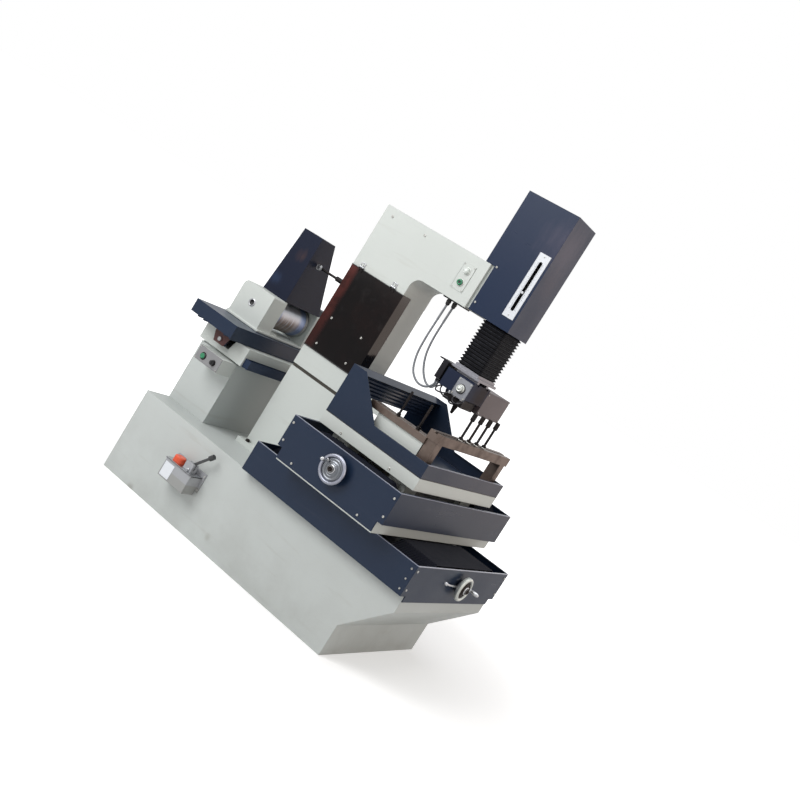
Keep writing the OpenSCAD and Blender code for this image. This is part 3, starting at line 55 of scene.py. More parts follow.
# The camera looks along yaw and pitch, and is rolled about its line of sight by level and lean
def aimCamera():
    yaw, pitch = math.radians(view["yaw"]), math.radians(view["pitch"])
    ahead = Vector((-math.sin(yaw) * math.cos(pitch), math.cos(yaw) * math.cos(pitch),
                    math.sin(pitch)))
    right = Vector((math.cos(yaw), math.sin(yaw), 0))
    above = right.cross(ahead)
    turn = math.radians(view["level"] + view["lean"])
    columns = (math.cos(turn) * right + math.sin(turn) * above,
               -math.sin(turn) * right + math.cos(turn) * above, -ahead, view["place"])
    data = bpy.data.cameras.new("camera")
    data.lens, data.sensor_width = view["lens"], view["film"]
    data.shift_x, data.shift_y = view["shift"]
    data.clip_end = view["reach"]
    camera = bpy.data.objects.new("camera", data)
    camera.matrix_world = Matrix([[c[k] for c in columns] for k in range(3)] + [[0, 0, 0, 1]])
    bpy.context.scene.collection.objects.link(camera)
    bpy.context.scene.camera = camera


aimCamera()
bpy.context.scene.view_settings.view_transform = "Standard"
print("camera set")


# A piece made of a surface, which is its points and its faces: doubles are merged where asked,
# and every face looks out
def meshPiece(name, surface, body, material, smooth=True, weld=0.0):
    points, faces = surface
    mesh = bpy.data.meshes.new(name)
    mesh.from_pydata(np.asarray(points, float).reshape(-1, 3).tolist(), [], faces)
    work = bmesh.new()
    work.from_mesh(mesh)
    if weld:
        bmesh.ops.remove_doubles(work, verts=work.verts, dist=weld)
    bmesh.ops.recalc_face_normals(work, faces=work.faces)
    work.to_mesh(mesh)
    work.free()
    mesh.polygons.foreach_set("use_smooth", [smooth] * len(mesh.polygons))
    mesh.materials.append(material)
    piece = bpy.data.objects.new(name, mesh)
    bpy.context.scene.collection.objects.link(piece)
    if body:
        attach(piece, body)
    return piece


# A sheet's thickness, laid inwards from its surface
def giveWall(piece, thickness):
    wall = piece.modifiers.new("wall", "SOLIDIFY")
    wall.thickness, wall.offset = thickness, -1


# Faces of a grid: one quad to each cell, and a closed grid joins its last column to its first
def gridFaces(rows, columns, closed=True):
    cells = columns if closed else columns - 1
    i, j = np.meshgrid(np.arange(rows - 1), np.arange(cells), indexing="ij")
    here, beside = i * columns + j, i * columns + (j + 1) % columns
    quads = np.stack([here, beside, beside + columns, here + columns], -1)
    return quads.reshape(-1, 4).tolist()


# A closed grid's faces, with one more face over each end
def cappedFaces(rows, columns):
    last = (rows - 1) * columns
    ends = [list(range(columns)), list(range(last, last + columns))]
    return gridFaces(rows, columns) + ends


# Two directions square to an axis and to each other, and then the axis, each of length one
def frameOf(axis):
    axis = np.asarray(axis, float) / np.linalg.norm(axis)
    across = np.cross(axis, (0, 0, 1) if abs(axis[2]) < 0.9 else (0, 1, 0))
    across /= np.linalg.norm(across)
    return across, np.cross(axis, across), axis


# A turned surface: a profile of radius and height, carried once round an axis from a base point.
# A hexagon ring's radius is divided by the cosine of the angle from its nearest flat, and a
# knurled ring's radius follows a wave that runs a whole number of times round it
def turned(profile, place, axis, sides=48, hexRings=(), knurled=(), teeth=40, deep=0.0004):
    u, v, w = frameOf(axis)
    angle = np.linspace(0, 2 * np.pi, sides, endpoint=False)
    radius, height = np.asarray(profile, float).T
    radius = radius[:, None] * np.ones(sides)
    half = np.pi / 6
    flat = np.cos(half) / np.cos((angle + half) % (2 * half) - half)
    for ring in hexRings:
        radius[ring] *= flat
    for ring in knurled:
        radius[ring] += deep * np.cos(teeth * angle)
    out = np.cos(angle)[:, None] * u + np.sin(angle)[:, None] * v
    points = np.asarray(place, float) + radius[..., None] * out + height[:, None, None] * w
    return points.reshape(-1, 3), gridFaces(len(profile), sides)


# Several surfaces laid end to end in one
def joined(parts):
    points, faces, first = [], [], 0
    for p, f in parts:
        points.append(np.asarray(p, float).reshape(-1, 3))
        faces += [[k + first for k in face] for face in f]
        first += len(points[-1])
    return np.concatenate(points), faces


# A smooth curve through points: each stretch is the cubic that also looks at the points beside it
def smoothPath(points, steps):
    p = np.asarray(points, float)
    p = np.concatenate([[2 * p[0] - p[1]], p, [2 * p[-1] - p[-2]]])
    t = np.linspace(0, 1, steps, endpoint=False)[:, None]
    out = [0.5 * (2 * b + (c - a) * t + (2 * a - 5 * b + 4 * c - d) * t ** 2
                  + (3 * b - a - 3 * c + d) * t ** 3)
           for a, b, c, d in zip(p[:-3], p[1:-2], p[2:-1], p[3:])]
    return np.concatenate(out + [p[-2:-1]])


# A round tube along a path: each ring lies square to it, turned as little as can be from the last
def tube(path, radius, sides=16):
    ahead = np.gradient(path, axis=0)
    ahead /= np.linalg.norm(ahead, axis=1)[:, None]
    across = [frameOf(ahead[0])[0]]
    for t in ahead[1:]:
        s = across[-1] - np.dot(across[-1], t) * t
        across.append(s / np.linalg.norm(s))
    across = np.array(across)
    above = np.cross(ahead, across)
    angle = np.linspace(0, 2 * np.pi, sides, endpoint=False)[:, None]
    out = np.cos(angle) * across[:, None] + np.sin(angle) * above[:, None]
    points = path[:, None] + radius * out
    return points.reshape(-1, 3), cappedFaces(len(path), sides)


# A rounded rectangle about its middle: a quarter circle at each corner, in equal steps of angle
def roundedOutline(half, radius, steps):
    outline = []
    for way, start in (((1, 1), 0), ((-1, 1), 90), ((-1, -1), 180), ((1, -1), 270)):
        turn = np.radians(start + np.linspace(0, 90, steps + 1))
        corner = radius * np.stack([np.cos(turn), np.sin(turn)], -1)
        outline.append(np.array(way) * (half - radius) + corner)
    return np.concatenate(outline)


# A bar with rounded long edges: a rounded rectangle carried straight along an axis, and drawn in
# over the last 0.6 of its corner radius at each end
def roundedBar(low, high, radius, axis):
    low, high = np.asarray(low, float), np.asarray(high, float)
    plane = [k for k in range(3) if k != axis]
    middle, half = (low + high)[plane] / 2, (high - low)[plane] / 2
    outline = roundedOutline(half, radius, 2)
    inset = radius * 0.6
    ends = (low[axis], low[axis] + inset, high[axis] - inset, high[axis])
    points = np.zeros((4, len(outline), 3))
    for ring, at, drawn in zip(points, ends, (inset, 0, 0, inset)):
        ring[:, plane] = middle + outline * (1 - drawn / half)
        ring[:, axis] = at
    return points.reshape(-1, 3), cappedFaces(4, len(outline))


# A socket's value, on which each operator adds its Math node
class Value:
    def __init__(self, finish, socket):
        self.finish, self.socket = finish, socket

    def worked(self, operation, a, b=0.0):
        return self.finish.add("ShaderNodeMath", {"operation": operation}, {0: a, 1: b})

    def __add__(self, other): return self.worked("ADD", self, other)
    def __radd__(self, other): return self.worked("ADD", other, self)
    def __sub__(self, other): return self.worked("SUBTRACT", self, other)
    def __rsub__(self, other): return self.worked("SUBTRACT", other, self)
    def __mul__(self, other): return self.worked("MULTIPLY", self, other)
    def __rmul__(self, other): return self.worked("MULTIPLY", other, self)
    def __abs__(self): return self.worked("ABSOLUTE", self)
    def fraction(self): return self.worked("FRACT", self)


# A material: what is the same all over is set on the shader, and patterns read Object coordinates
class Finish:
    def __init__(self, name, **fixed):
        self.material = bpy.data.materials.new(name)
        self.material.use_nodes = True
        self.tree = self.material.node_tree
        self.shader = self.tree.nodes["Principled BSDF"]
        self.place = self.add("ShaderNodeTexCoord", {}, {}, "Object")
        for socket, value in fixed.items():
            self.shader.inputs[socket.replace("_", " ")].default_value = value

    def add(self, kind, settings, sockets, out=0):
        node = self.tree.nodes.new(kind)
        for key, value in settings.items():
            setattr(node, key, value)
        for key, value in sockets.items():
            if isinstance(value, Value):
                self.tree.links.new(value.socket, node.inputs[key])
            else:
                node.inputs[key].default_value = value
        return Value(self, node.outputs[out])

    def feed(self, socket, value):
        self.tree.links.new(value.socket, self.shader.inputs[socket])
        return self

    def noise(self, scale, detail=2.0, rough=0.5, at=None):
        return self.add("ShaderNodeTexNoise", {}, {
            "Vector": at or self.place, "Scale": scale, "Detail": detail, "Roughness": rough})

    # Noise that is drawn out along the axes whose scale is low
    def streaks(self, scale, rough=0.6):
        drawn = self.add("ShaderNodeMapping", {}, {"Vector": self.place, "Scale": scale})
        return self.noise(1.0, 3.0, rough, drawn)

    def band(self, value, low, high, dark=0.0, light=1.0):
        return self.add("ShaderNodeMapRange", {"interpolation_type": "SMOOTHSTEP"}, {
            "Value": value, "From Min": low, "From Max": high, "To Min": dark, "To Max": light})

    # A Mix node set to colours has its A, B and Result at sockets 6, 7 and 2
    def blended(self, share, a, b):
        a, b = (c if isinstance(c, Value) else (*c, 1) for c in (a, b))
        return self.add("ShaderNodeMix", {"data_type": "RGBA"}, {0: share, 6: a, 7: b}, 2)

    def apart(self):
        node = self.tree.nodes.new("ShaderNodeSeparateXYZ")
        self.tree.links.new(self.place.socket, node.inputs[0])
        return [Value(self, s) for s in node.outputs]

    # Fine relief, over edges that are softened by a radius where one is given
    def relief(self, height, strength, depth, edge=0.0):
        sockets = {"Height": height, "Strength": strength, "Distance": depth}
        if edge:
            sockets["Normal"] = self.add("ShaderNodeBevel", {"samples": 4}, {"Radius": edge})
        return self.feed("Normal", self.add("ShaderNodeBump", {}, sockets))


# A colour as a screen shows it, 0 to 255, turned into the light that a shader takes
def tone(*levels):
    return tuple(c / 255 / 12.92 if c <= 10 else ((c / 255 + 0.055) / 1.055) ** 2.4
                 for c in levels)


# Machine enamel: a cloudy base tone, level rub marks, flecks, a patchy darkening towards the
# bottom, smudges and patches of painted light, and a sprayed skin
def enamel(name, base, worn, rough, skin, edge=0.0025, lowDarkening=0.35, gloss=0.5, cloudy=0.35,
           rubbed=0.22, flecked=0.1, smudgesAndLightPatches=()):
    base, worn = tone(*base), tone(*worn)
    f = Finish(name, Specular_IOR_Level=gloss)
    cloud = f.band(f.noise(2.2, 4.0, 0.55), 0.35, 0.7)
    rub = f.band(f.streaks((3, 3, 26)), 0.6, 0.78)
    fleck = f.band(f.noise(180.0, 1.0), 0.66, 0.74)
    # Darker towards the bottom, in patches
    low = f.band(f.apart()[2], 0.0, 0.5, 1.0, 0.0) * f.band(f.noise(6.0, 4.0, 0.6), 0.3, 0.75)
    colour = f.blended(cloud * cloudy, base, tuple(c * 0.86 for c in base))
    colour = f.blended(rub * rubbed + fleck * flecked, colour, worn)
    colour = f.blended(low * lowDarkening, colour, tuple(c * 0.62 for c in worn))
    # Real smudges, and patches of painted reflection, sheen and shade, are laid on alike
    for centre, size, patchColour, share in smudgesAndLightPatches:  # ragged, and fading from 0.5 to 1.5 of their size
        away = f.add("ShaderNodeVectorMath", {"operation": "DISTANCE"}, {0: f.place, 1: centre},
                     "Value")
        ragged = away + f.streaks((24, 24, 7)) * size * 0.9
        colour = f.blended(f.band(ragged, size * 0.5, size * 1.5, share, 0.0), colour,
                           tone(*patchColour))
    f.feed("Base Color", colour)
    f.feed("Roughness", rough + 0.1 * cloud + 0.1 * low - 0.06 * rub)
    sprayed = f.noise(skin, 2.0, 0.5) + 0.35 * f.noise(skin * 6, 1.0)
    return f.relief(sprayed, 0.1, 0.0008, edge).material


# Ground or turned steel: fine lines along one axis, with oily cloud and a few brown stains
def groundSteel(name, base, patchColour, along, rough=0.3, stained=0.25, edge=0.0012):
    base, patchColour = tone(*base), tone(*patchColour)
    f = Finish(name, Metallic=1.0)
    grain = f.streaks(along, 0.65)
    cloud = f.band(f.noise(9.0, 4.0, 0.6), 0.4, 0.75)
    lined = f.blended(grain * 0.5, base, tuple(c * 0.72 for c in base))
    f.feed("Base Color", f.blended(cloud * stained, lined, patchColour))
    f.feed("Roughness", rough + 0.14 * grain + 0.16 * cloud)
    return f.relief(grain, 0.12, 0.0004, edge).material


# Moulded plastic or rubber: a plain tone with a fine pebbled skin and light dust
def moulded(name, base, rough, skin=900.0, dust=0.1, gloss=0.5, coat=0.0):
    base = tone(*base)
    f = Finish(name, Specular_IOR_Level=gloss, Coat_Weight=coat, Coat_Roughness=0.08)
    cloud = f.band(f.noise(14.0, 4.0, 0.6), 0.4, 0.8)
    f.feed("Base Color", f.blended(cloud * dust, base, tuple(min(1, c + 0.16) for c in base)))
    f.feed("Roughness", rough + 0.12 * cloud)
    return f.relief(f.noise(skin, 2.0), 0.1, 0.0003, 0.001).material


# Colours are given as a screen shows them. A smudge or a patch of painted light is a place, a size,
# a colour and its share
bedSmudges = (((-0.025, -0.431, 0.065), 0.024, (140, 136, 126), 0.35),
              ((-0.516, -0.431, 0.004), 0.026, (120, 114, 104), 0.45))
# The hood's two patches, one brown and one blue, are painted reflections
hoodReflections = (((-0.59, -0.06, 1.285), 0.062, (98, 72, 60), 0.8),
               ((-0.655, -0.09, 1.13), 0.05, (50, 66, 96), 0.7))
# Lighter patches on the Z cover's +X side: a painted reflected sheen
coverSheen = (((0.512, -0.02, 1.9), 0.16, (92, 86, 102), 0.5),
                ((0.512, 0.00, 1.74), 0.11, (72, 62, 76), 0.35))
# A dark brown patch over the U block's +X side: painted shade
blockShade = (((0.5, 0.03, 1.18), 0.12, (34, 22, 22), 0.92),)

cream = enamel("creamEnamel", (208, 213, 209), (184, 184, 176), 0.4, 140.0, lowDarkening=0.25, cloudy=0.25)
# A darker copy of the cream for the bed and the drum's pedestal: painted shade. Its two smudges are
# real
shadedBedCream = enamel("shadedBedEnamel", (192, 197, 195), (160, 158, 150), 0.42, 140.0, lowDarkening=0.2,
                  cloudy=0.22, smudgesAndLightPatches=bedSmudges)
navy = enamel("navyEnamel", (28, 42, 64), (70, 74, 88), 0.28, 260.0, 0.0015, 0.15, 0.3, rubbed=0.1)
hoodNavy = enamel("hoodEnamel", (26, 32, 50), (84, 66, 58), 0.34, 260.0, 0.0015, 0.1, 0.16,
                  rubbed=0.1, smudgesAndLightPatches=hoodReflections)
coverNavy = enamel("coverEnamel", (30, 44, 70), (70, 74, 88), 0.3, 260.0, 0.0015, 0.1,
                   0.18, rubbed=0.06, smudgesAndLightPatches=coverSheen)
blue = enamel("blueEnamel", (36, 44, 66), (70, 62, 60), 0.4, 240.0, 0.0015, 0.1, 0.12,
              smudgesAndLightPatches=blockShade)
trayBlue = enamel("trayEnamel", (30, 46, 72), (80, 90, 106), 0.4, 240.0, 0.001, 0.1, 0.3)
taupe = enamel("taupeEnamel", (94, 84, 87), (124, 114, 112), 0.38, 240.0, 0.0015, 0.1)
# Pale lavender enamels for the thin bars along sheet rims: painted highlights
paleEdgeHighlight = enamel("paleEdgeHighlight", (136, 140, 158), (176, 178, 188), 0.24, 260.0, 0.0005, 0.05)
brightEdgeHighlight = enamel("brightEdgeHighlight", (182, 186, 200), (200, 202, 208), 0.18, 260.0, 0.0005, 0.05)
plateRed = enamel("darkRed", (74, 34, 32), (110, 80, 70), 0.45, 220.0, 0.001, 0.2)
greyPlate = enamel("greyPlate", (138, 138, 140), (170, 168, 164), 0.36, 300.0, 0.0006, 0.1)

steelX = groundSteel("steelAlongX", (176, 178, 180), (120, 100, 80), (6, 400, 400))
steelY = groundSteel("steelAlongY", (176, 178, 180), (120, 100, 80), (400, 6, 400))
steelZ = groundSteel("steelAlongZ", (182, 184, 187), (120, 106, 90), (400, 400, 6))
railSteel = groundSteel("oiledRailSteel", (116, 104, 97), (62, 45, 38), (300, 40, 300), 0.32, 0.6)
blackOxide = groundSteel("blackOxide", (46, 44, 45), (74, 62, 54), (60, 60, 60), 0.42, 0.3)
leverSteel = groundSteel("leverSteel", (92, 94, 96), (66, 62, 58), (60, 60, 60), 0.38, 0.4)
brightScrew = groundSteel("brightScrew", (196, 196, 192), (120, 110, 96), (200, 200, 200),
                          0.28, 0.3)
dialSteel = groundSteel("dialSteel", (168, 171, 184), (112, 110, 114), (90, 90, 90), 0.24, 0.45)
webSteel = groundSteel("webSteel", (132, 136, 142), (92, 90, 88), (60, 60, 60), 0.22, 0.35)
satinRim = groundSteel("satinRim", (214, 218, 214), (170, 168, 160), (60, 60, 60), 0.34)
chrome = groundSteel("polishedChrome", (206, 208, 212), (150, 146, 140), (40, 40, 40), 0.14, 0.2)
headSilver = groundSteel("headSilver", (142, 144, 150), (98, 96, 98), (8, 300, 300), 0.36, 0.3)

blackPlastic = moulded("blackPlastic", (24, 24, 26), 0.42)
bellowsCloth = moulded("bellowsCloth", (20, 20, 23), 0.58, 1400.0, 0.16)
coverCloth = moulded("coverCloth", (14, 17, 28), 0.6, 1200.0, 0.03, gloss=0.08)
hoseRubber = moulded("hoseRubber", (132, 136, 142), 0.34, 700.0, 0.2)
darkHose = moulded("darkHose", (34, 32, 40), 0.34, 800.0, 0.12)
motorGrey = moulded("motorGrey", (62, 66, 72), 0.4, 500.0, 0.15)
greenPlastic = moulded("greenPush", (20, 128, 84), 0.24, 500.0, 0.05, coat=0.4)
orangePlastic = moulded("orangeCap", (222, 82, 40), 0.32, 500.0, 0.08, coat=0.2)
whitePlastic = moulded("whiteLens", (224, 228, 234), 0.28, 500.0, 0.05, coat=0.3)
insulator = moulded("insulatingBoard", (52, 48, 40), 0.55, 300.0, 0.15)
print("materials made")


# The frame's own pieces keep their mesh and take a finish
def dress(material, *names):
    for name in names:
        materials = nodes[name].data.materials
        materials.clear()
        materials.append(material)


dress(cream, "column_base", "c_frame", "arm_panel", "lower_arm", "z_base", "way_base",
      "control_box", "saddle_casting", "table_casting", "drum_brackets")
dress(shadedBedCream, "bed", "drum_pedestal")
dress(navy, "lower_trough", "saddle_trough", "water_tank", "drum_carriage")
dress(coverNavy, "z_cover")
dress(hoodNavy, "drum_hood")
dress(blue, "u_block")
dress(trayBlue, "side_tray")
dress(taupe, "head_box")
dress(steelX, "x_ways", "x_screw", "x_handwheel")
dress(steelY, "y_ways", "y_screw", "y_handwheel", "wire_drum", "traverse_screw", "v_knob",
      "guide_wheel_top", "guide_wheel_low", "rod_wheel", "upper_wheel", "lower_wheel")
dress(steelZ, "z_ram", "z_screw")
dress(railSteel, "clamp_rails")
dress(blackOxide, "clamp_bolts", "guide_rod", "v_carriage")
dress(blackPlastic, "z_motor", "u_motor", "hose_glands", "box_knob", "x_grip", "y_grip",
      "drum_motor")
dress(leverSteel, "pump_lever")
dress(bellowsCloth, "bellows")
dress(hoseRubber, "head_hoses")
dress(greenPlastic, "arm_button", "box_button")
dress(orangePlastic, "oil_cap")
dress(whitePlastic, "arm_lamp", "z_scale")
dress(insulator, "insulating_plate")

# The head's plates: brushed silver, blackened towards the motor
plated = Finish("headPlates", Metallic=0.8)
blackened = plated.band(plated.apart()[0], 0.35, 0.362, 1.0, 0.0)
lines = plated.streaks((300, 8, 300))
silver = plated.blended(lines, tone(120, 120, 128), tone(150, 150, 156))
plated.feed("Base Color", plated.blended(blackened, silver, tone(34, 33, 38)))
plated.feed("Roughness", 0.3 + 0.16 * lines)
dress(plated.relief(lines, 0.12, 0.0003, 0.001).material, "head_plate")
print("nodes dressed")

# The two hoses between the arm and the head come first
hoses = {"bore": 0.01,
         "left": ((0.176, -0.072, 1.445), (0.174, -0.072, 1.36), (0.173, -0.072, 1.27),
                  (0.18, -0.072, 1.19), (0.206, -0.072, 1.124), (0.252, -0.072, 1.092),
                  (0.298, -0.072, 1.096), (0.324, -0.072, 1.122), (0.326, -0.072, 1.146)),
         "right": ((0.196, -0.048, 1.445), (0.194, -0.048, 1.36), (0.195, -0.048, 1.28),
                   (0.206, -0.048, 1.21), (0.234, -0.048, 1.15), (0.272, -0.048, 1.112),
                   (0.306, -0.048, 1.104), (0.324, -0.048, 1.124), (0.326, -0.048, 1.146))}
for hand in ("left", "right"):
    route = smoothPath(hoses[hand], 10)
    piece = meshPiece("head_hose_" + hand, tube(route, hoses["bore"] / 2), None, hoseRubber)
    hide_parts("head_hoses")
    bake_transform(piece)

# Each lamp is a place, a size, a power and a colour, all aimed at one spot. The last two are
# the world's strength as a light and the share of white that reflections see
room = {"key": ((-2.4, -5.0, 4.2), 4.0, 265, (1, 1, 1)),
        "fill": ((5.5, -1.5, 2.2), 4.0, 46, (1, 0.86, 0.74)),
        "top": ((0.2, 0.3, 6.0), 5.0, 112, (1, 1, 1)),
        "warm": ((3.4, 4.8, 1.7), 3.5, 30, (1, 0.78, 0.66)),
        "aim": (0.1, 0, 0.8), "world": 0.34, "mirrored": 0.75}
# The floor's glow is how far out it starts and ends, and its strength at both
ground = {"tone": 0.86, "rings": (0.001, 4, 12, 60), "sides": 96, "glow": (1.1, 2.6, 0.36, 1.0)}


# A square lamp that is turned towards the aim
def lamp(name, place, size, power, colour):
    data = bpy.data.lights.new(name, "AREA")
    data.size, data.energy, data.color = size, power, colour
    light = bpy.data.objects.new(name, data)
    light.location = place
    aim = Vector(room["aim"]) - Vector(place)
    light.rotation_euler = aim.to_track_quat("-Z", "Y").to_euler()
    bpy.context.scene.collection.objects.link(light)


# The world is white to the camera, a little less so in reflections, and dimmer as a light
def paleWorld():
    world = bpy.data.worlds.new("studio")
    bpy.context.scene.world = world
    world.use_nodes = True
    tree = world.node_tree
    path, seen, mirrored, strength = (tree.nodes.new("ShaderNode" + kind) for kind in (
        "LightPath", "Math", "Math", "MapRange"))
    seen.operation, mirrored.operation = "MAXIMUM", "MULTIPLY"
    mirrored.inputs[1].default_value = room["mirrored"]
    strength.inputs["To Min"].default_value = room["world"]
    strength.inputs["To Max"].default_value = 1.0
    back = tree.nodes["Background"]
    back.inputs["Color"].default_value = (1, 1, 1, 1)
    for a, b in ((path.outputs["Is Camera Ray"], seen.inputs[0]),
                 (path.outputs["Is Glossy Ray"], mirrored.inputs[0]),
                 (mirrored.outputs[0], seen.inputs[1]),
                 (seen.outputs[0], strength.inputs["Value"]),
                 (strength.outputs[0], back.inputs["Strength"])):
        tree.links.new(a, b)


# The floor: flat rings about the middle, pale, with a glow for the camera that grows outwards
def paleFloor():
    angle = np.linspace(0, 2 * np.pi, ground["sides"], endpoint=False)
    circle = np.stack([np.cos(angle), np.sin(angle), 0 * angle], -1)
    points = np.array(ground["rings"])[:, None, None] * circle
    f = Finish("paleFloor", Roughness=0.9, Specular_IOR_Level=0.2, Emission_Strength=1.0,
               Base_Color=(ground["tone"],) * 3 + (1,))
    seen = f.add("ShaderNodeLightPath", {}, {}, "Is Camera Ray")
    away = f.add("ShaderNodeVectorMath", {"operation": "LENGTH"}, {0: f.place}, "Value")
    f.feed("Emission Color", seen * f.band(away, *ground["glow"]))
    faces = gridFaces(len(points), ground["sides"])
    meshPiece("floor", (points, faces), None, f.material, weld=0.01)


for name in ("key", "fill", "top", "warm"):
    lamp(name, *room[name])
paleWorld()
paleFloor()
print("room lit")

folds = {"x": (0.369, 0.501), "y": (-0.096, 0.096), "z": (1.262, 1.477), "count": 14,
         "deep": 0.01, "corner": 0.012, "wall": 0.0012}


# Bellows: a rounded rectangle carried up Z, drawn in by a pointed wave that runs once per fold
def bellowsSurface():
    rows = folds["count"] * 8 + 1
    z = np.linspace(*folds["z"], rows)[:, None, None]
    wave = np.abs((np.linspace(0, folds["count"], rows) % 1) * 2 - 1)[:, None, None] ** 0.9
    box = np.array([folds["x"], folds["y"]])
    middle, half = box.sum(axis=1) / 2, np.ptp(box, axis=1) / 2
    ring = roundedOutline(half, folds["corner"], 4)
    outline = middle + ring * (1 - folds["deep"] * wave / half)
    points = np.concatenate([outline, np.broadcast_to(z, (rows, len(ring), 1))], -1)
    return points, gridFaces(rows, len(ring))


# Their cloth is lighter along the crest of each fold: a painted highlight, broken up by noise
foldCloth = Finish("foldCloth", Specular_IOR_Level=0.3)
pitch = np.ptp(folds["z"]) / folds["count"]
crest = abs(((foldCloth.apart()[2] - folds["z"][0]) * (1 / pitch)).fraction() - 0.5)
dust = foldCloth.band(foldCloth.noise(20.0, 3.0), 0.35, 0.65)
crestHighlight = foldCloth.band(crest, 0.4, 0.49) * (0.6 + 0.4 * dust)
foldCloth.feed("Base Color", foldCloth.blended(crestHighlight, tone(20, 20, 24), tone(78, 79, 88)))
foldCloth.feed("Roughness", 0.5 + 0.15 * dust)
foldCloth.relief(foldCloth.noise(1400.0, 2.0), 0.12, 0.0003)
piece = meshPiece("bellows_folds", bellowsSurface(), None, foldCloth.material,
                  smooth=False)
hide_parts("bellows")
giveWall(piece, folds["wall"])
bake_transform(piece)
print("bellows folded")

front, near, far, up = (1, 0, 0), (0, -1, 0), (0, 1, 0), (0, 0, 1)


# Every place that some x, y and z values give together
def spots(x, y, z):
    return list(product(*(v if isinstance(v, tuple) else (v,) for v in (x, y, z))))


# A cap screw: a turned head with a chamfered rim and a six-sided socket, its steps given as
# shares of its radius and height
def capScrew(place, axis, size, high):
    r = size / 2
    profile = [(0, high * 0.35), (r * 0.52, high * 0.35), (r * 0.52, high * 0.96), (r * 0.6, high),
               (r * 0.84, high), (r, high * 0.72), (r, 0)]
    return turned(profile, place, axis, 24, (1, 2))


# Cap screws in one piece, one at each place
def screwSet(name, body, places, axis, size=0.01, high=0.004, material=brightScrew):
    surface = joined([capScrew(p, axis, size, high) for p in places])
    return meshPiece(name, surface, body, material, weld=1e-6)


# Rounded bars in one piece, each between its lowest and its highest corner
def bars(name, body, material, boxes, radius, axis=0):
    surface = joined([roundedBar(low, high, radius, axis) for low, high in boxes])
    return meshPiece(name, surface, body, material, smooth=False)


# The same turned shape at each place, in one piece
def rings(name, body, slot, material, profile, places, axis, sides=48, **more):
    surface = joined([turned(profile, p, axis, sides, **more) for p in places])
    return meshPiece(name, surface, body, material, weld=1e-7)


# Each set is a body, the places, the way the heads face, and their width and height where these
# aren't 10 by 4 mm
guardHoles = ((0.14, 0.722), (0.14, 0.64), (0.698, 0.722), (0.698, 0.64), (0.23, 0.583),
              (0.6, 0.583))
coverHoles = ((-0.262, 1.118), (-0.075, 1.117), (-0.262, 0.985), (-0.075, 0.985))
footBolts = (spots((-0.3, -0.18, -0.06), -0.133, 0.43)
             + spots((-0.3, -0.18, -0.06), 0.133, 0.43) + spots(-0.335, (-0.07, 0.07), 0.43))
screws = {
    "guard_screws": ("saddle", [(x, -0.584, z) for x, z in guardHoles], near),
    "guard_screws_back": ("saddle", [(x, 0.584, z) for x, z in guardHoles], far),
    "front_plate_screws": ("frame", spots(0.887, (-0.462, 0.462), (0.525, 0.44)), front),
    "trough_side_screws": ("frame", spots(0.868, -0.48, (0.525, 0.48, 0.435)), near, 0.008),
    "arm_screws": ("frame", spots((-0.268, -0.073), -0.118, 1.648), near, 0.012),
    "cover_screws": ("chamber_door", [(x, -0.1213, z) for x, z in coverHoles], near, 0.011),
    "z_cover_screws": ("frame", spots(0.306, -0.111, (1.688, 1.516)), near),
    "z_cover_screws_back": ("frame", spots(0.306, 0.111, (1.688, 1.516)), far),
    "panel_screws": ("frame", spots((0.173, 0.225), -0.12, (1.524, 1.634)), near, 0.006, 0.002),
    "foot_bolts": ("frame", footBolts, up, 0.02, 0.012, blackOxide),
    "table_plugs": ("table", spots((0.28, 0.55), -0.46, 0.78), near, 0.012, 0.002),
    "head_box_screws": ("u_body", spots(0.5, (0.098, 0.327), (1.114, 1.205)), front, 0.007,
                        0.0025),
    "face_plate_screws": ("u_body", spots((0.435, 0.496), -0.1032, (1.142, 1.21)), near, 0.008,
                          0.0035)}
for name, row in screws.items():
    screwSet(name, *row)

# Painted highlights on the rims of the folded sheet, as thin pale bars: a body, a finish, the bars
# and the axis that they run along
rims = {
    "trough_rim_highlights": ("frame", paleEdgeHighlight, [((-0.027, -0.4806, 0.547), (0.887, -0.477, 0.5496)),
                                          ((-0.027, 0.477, 0.547), (0.887, 0.4806, 0.5496))],
                    0),
    "trough_front_rim_highlight": ("frame", brightEdgeHighlight,
                         [((0.883, -0.48, 0.5462), (0.8878, 0.48, 0.5498))], 1),
    "guard_rim_highlights": ("saddle", paleEdgeHighlight, [((0.1265, -0.5846, 0.752), (0.7115, -0.581, 0.7546)),
                                          ((0.1265, 0.581, 0.752), (0.7115, 0.5846, 0.7546))],
                   0),
    "guard_side_rim_highlights": ("saddle", paleEdgeHighlight,
                        [((0.708, -0.584, 0.752), (0.7121, 0.584, 0.7546)),
                         ((0.1259, -0.584, 0.752), (0.13, 0.584, 0.7546))], 1),
    "tank_rim_highlight": ("table", paleEdgeHighlight, [((0.6835, -0.46, 0.8822), (0.6876, 0.348, 0.8846))], 1)}
for name, (body, finish, boxes, axis) in rims.items():
    bars(name, body, finish, boxes, 0.0008, axis)
print("screws and rims set")

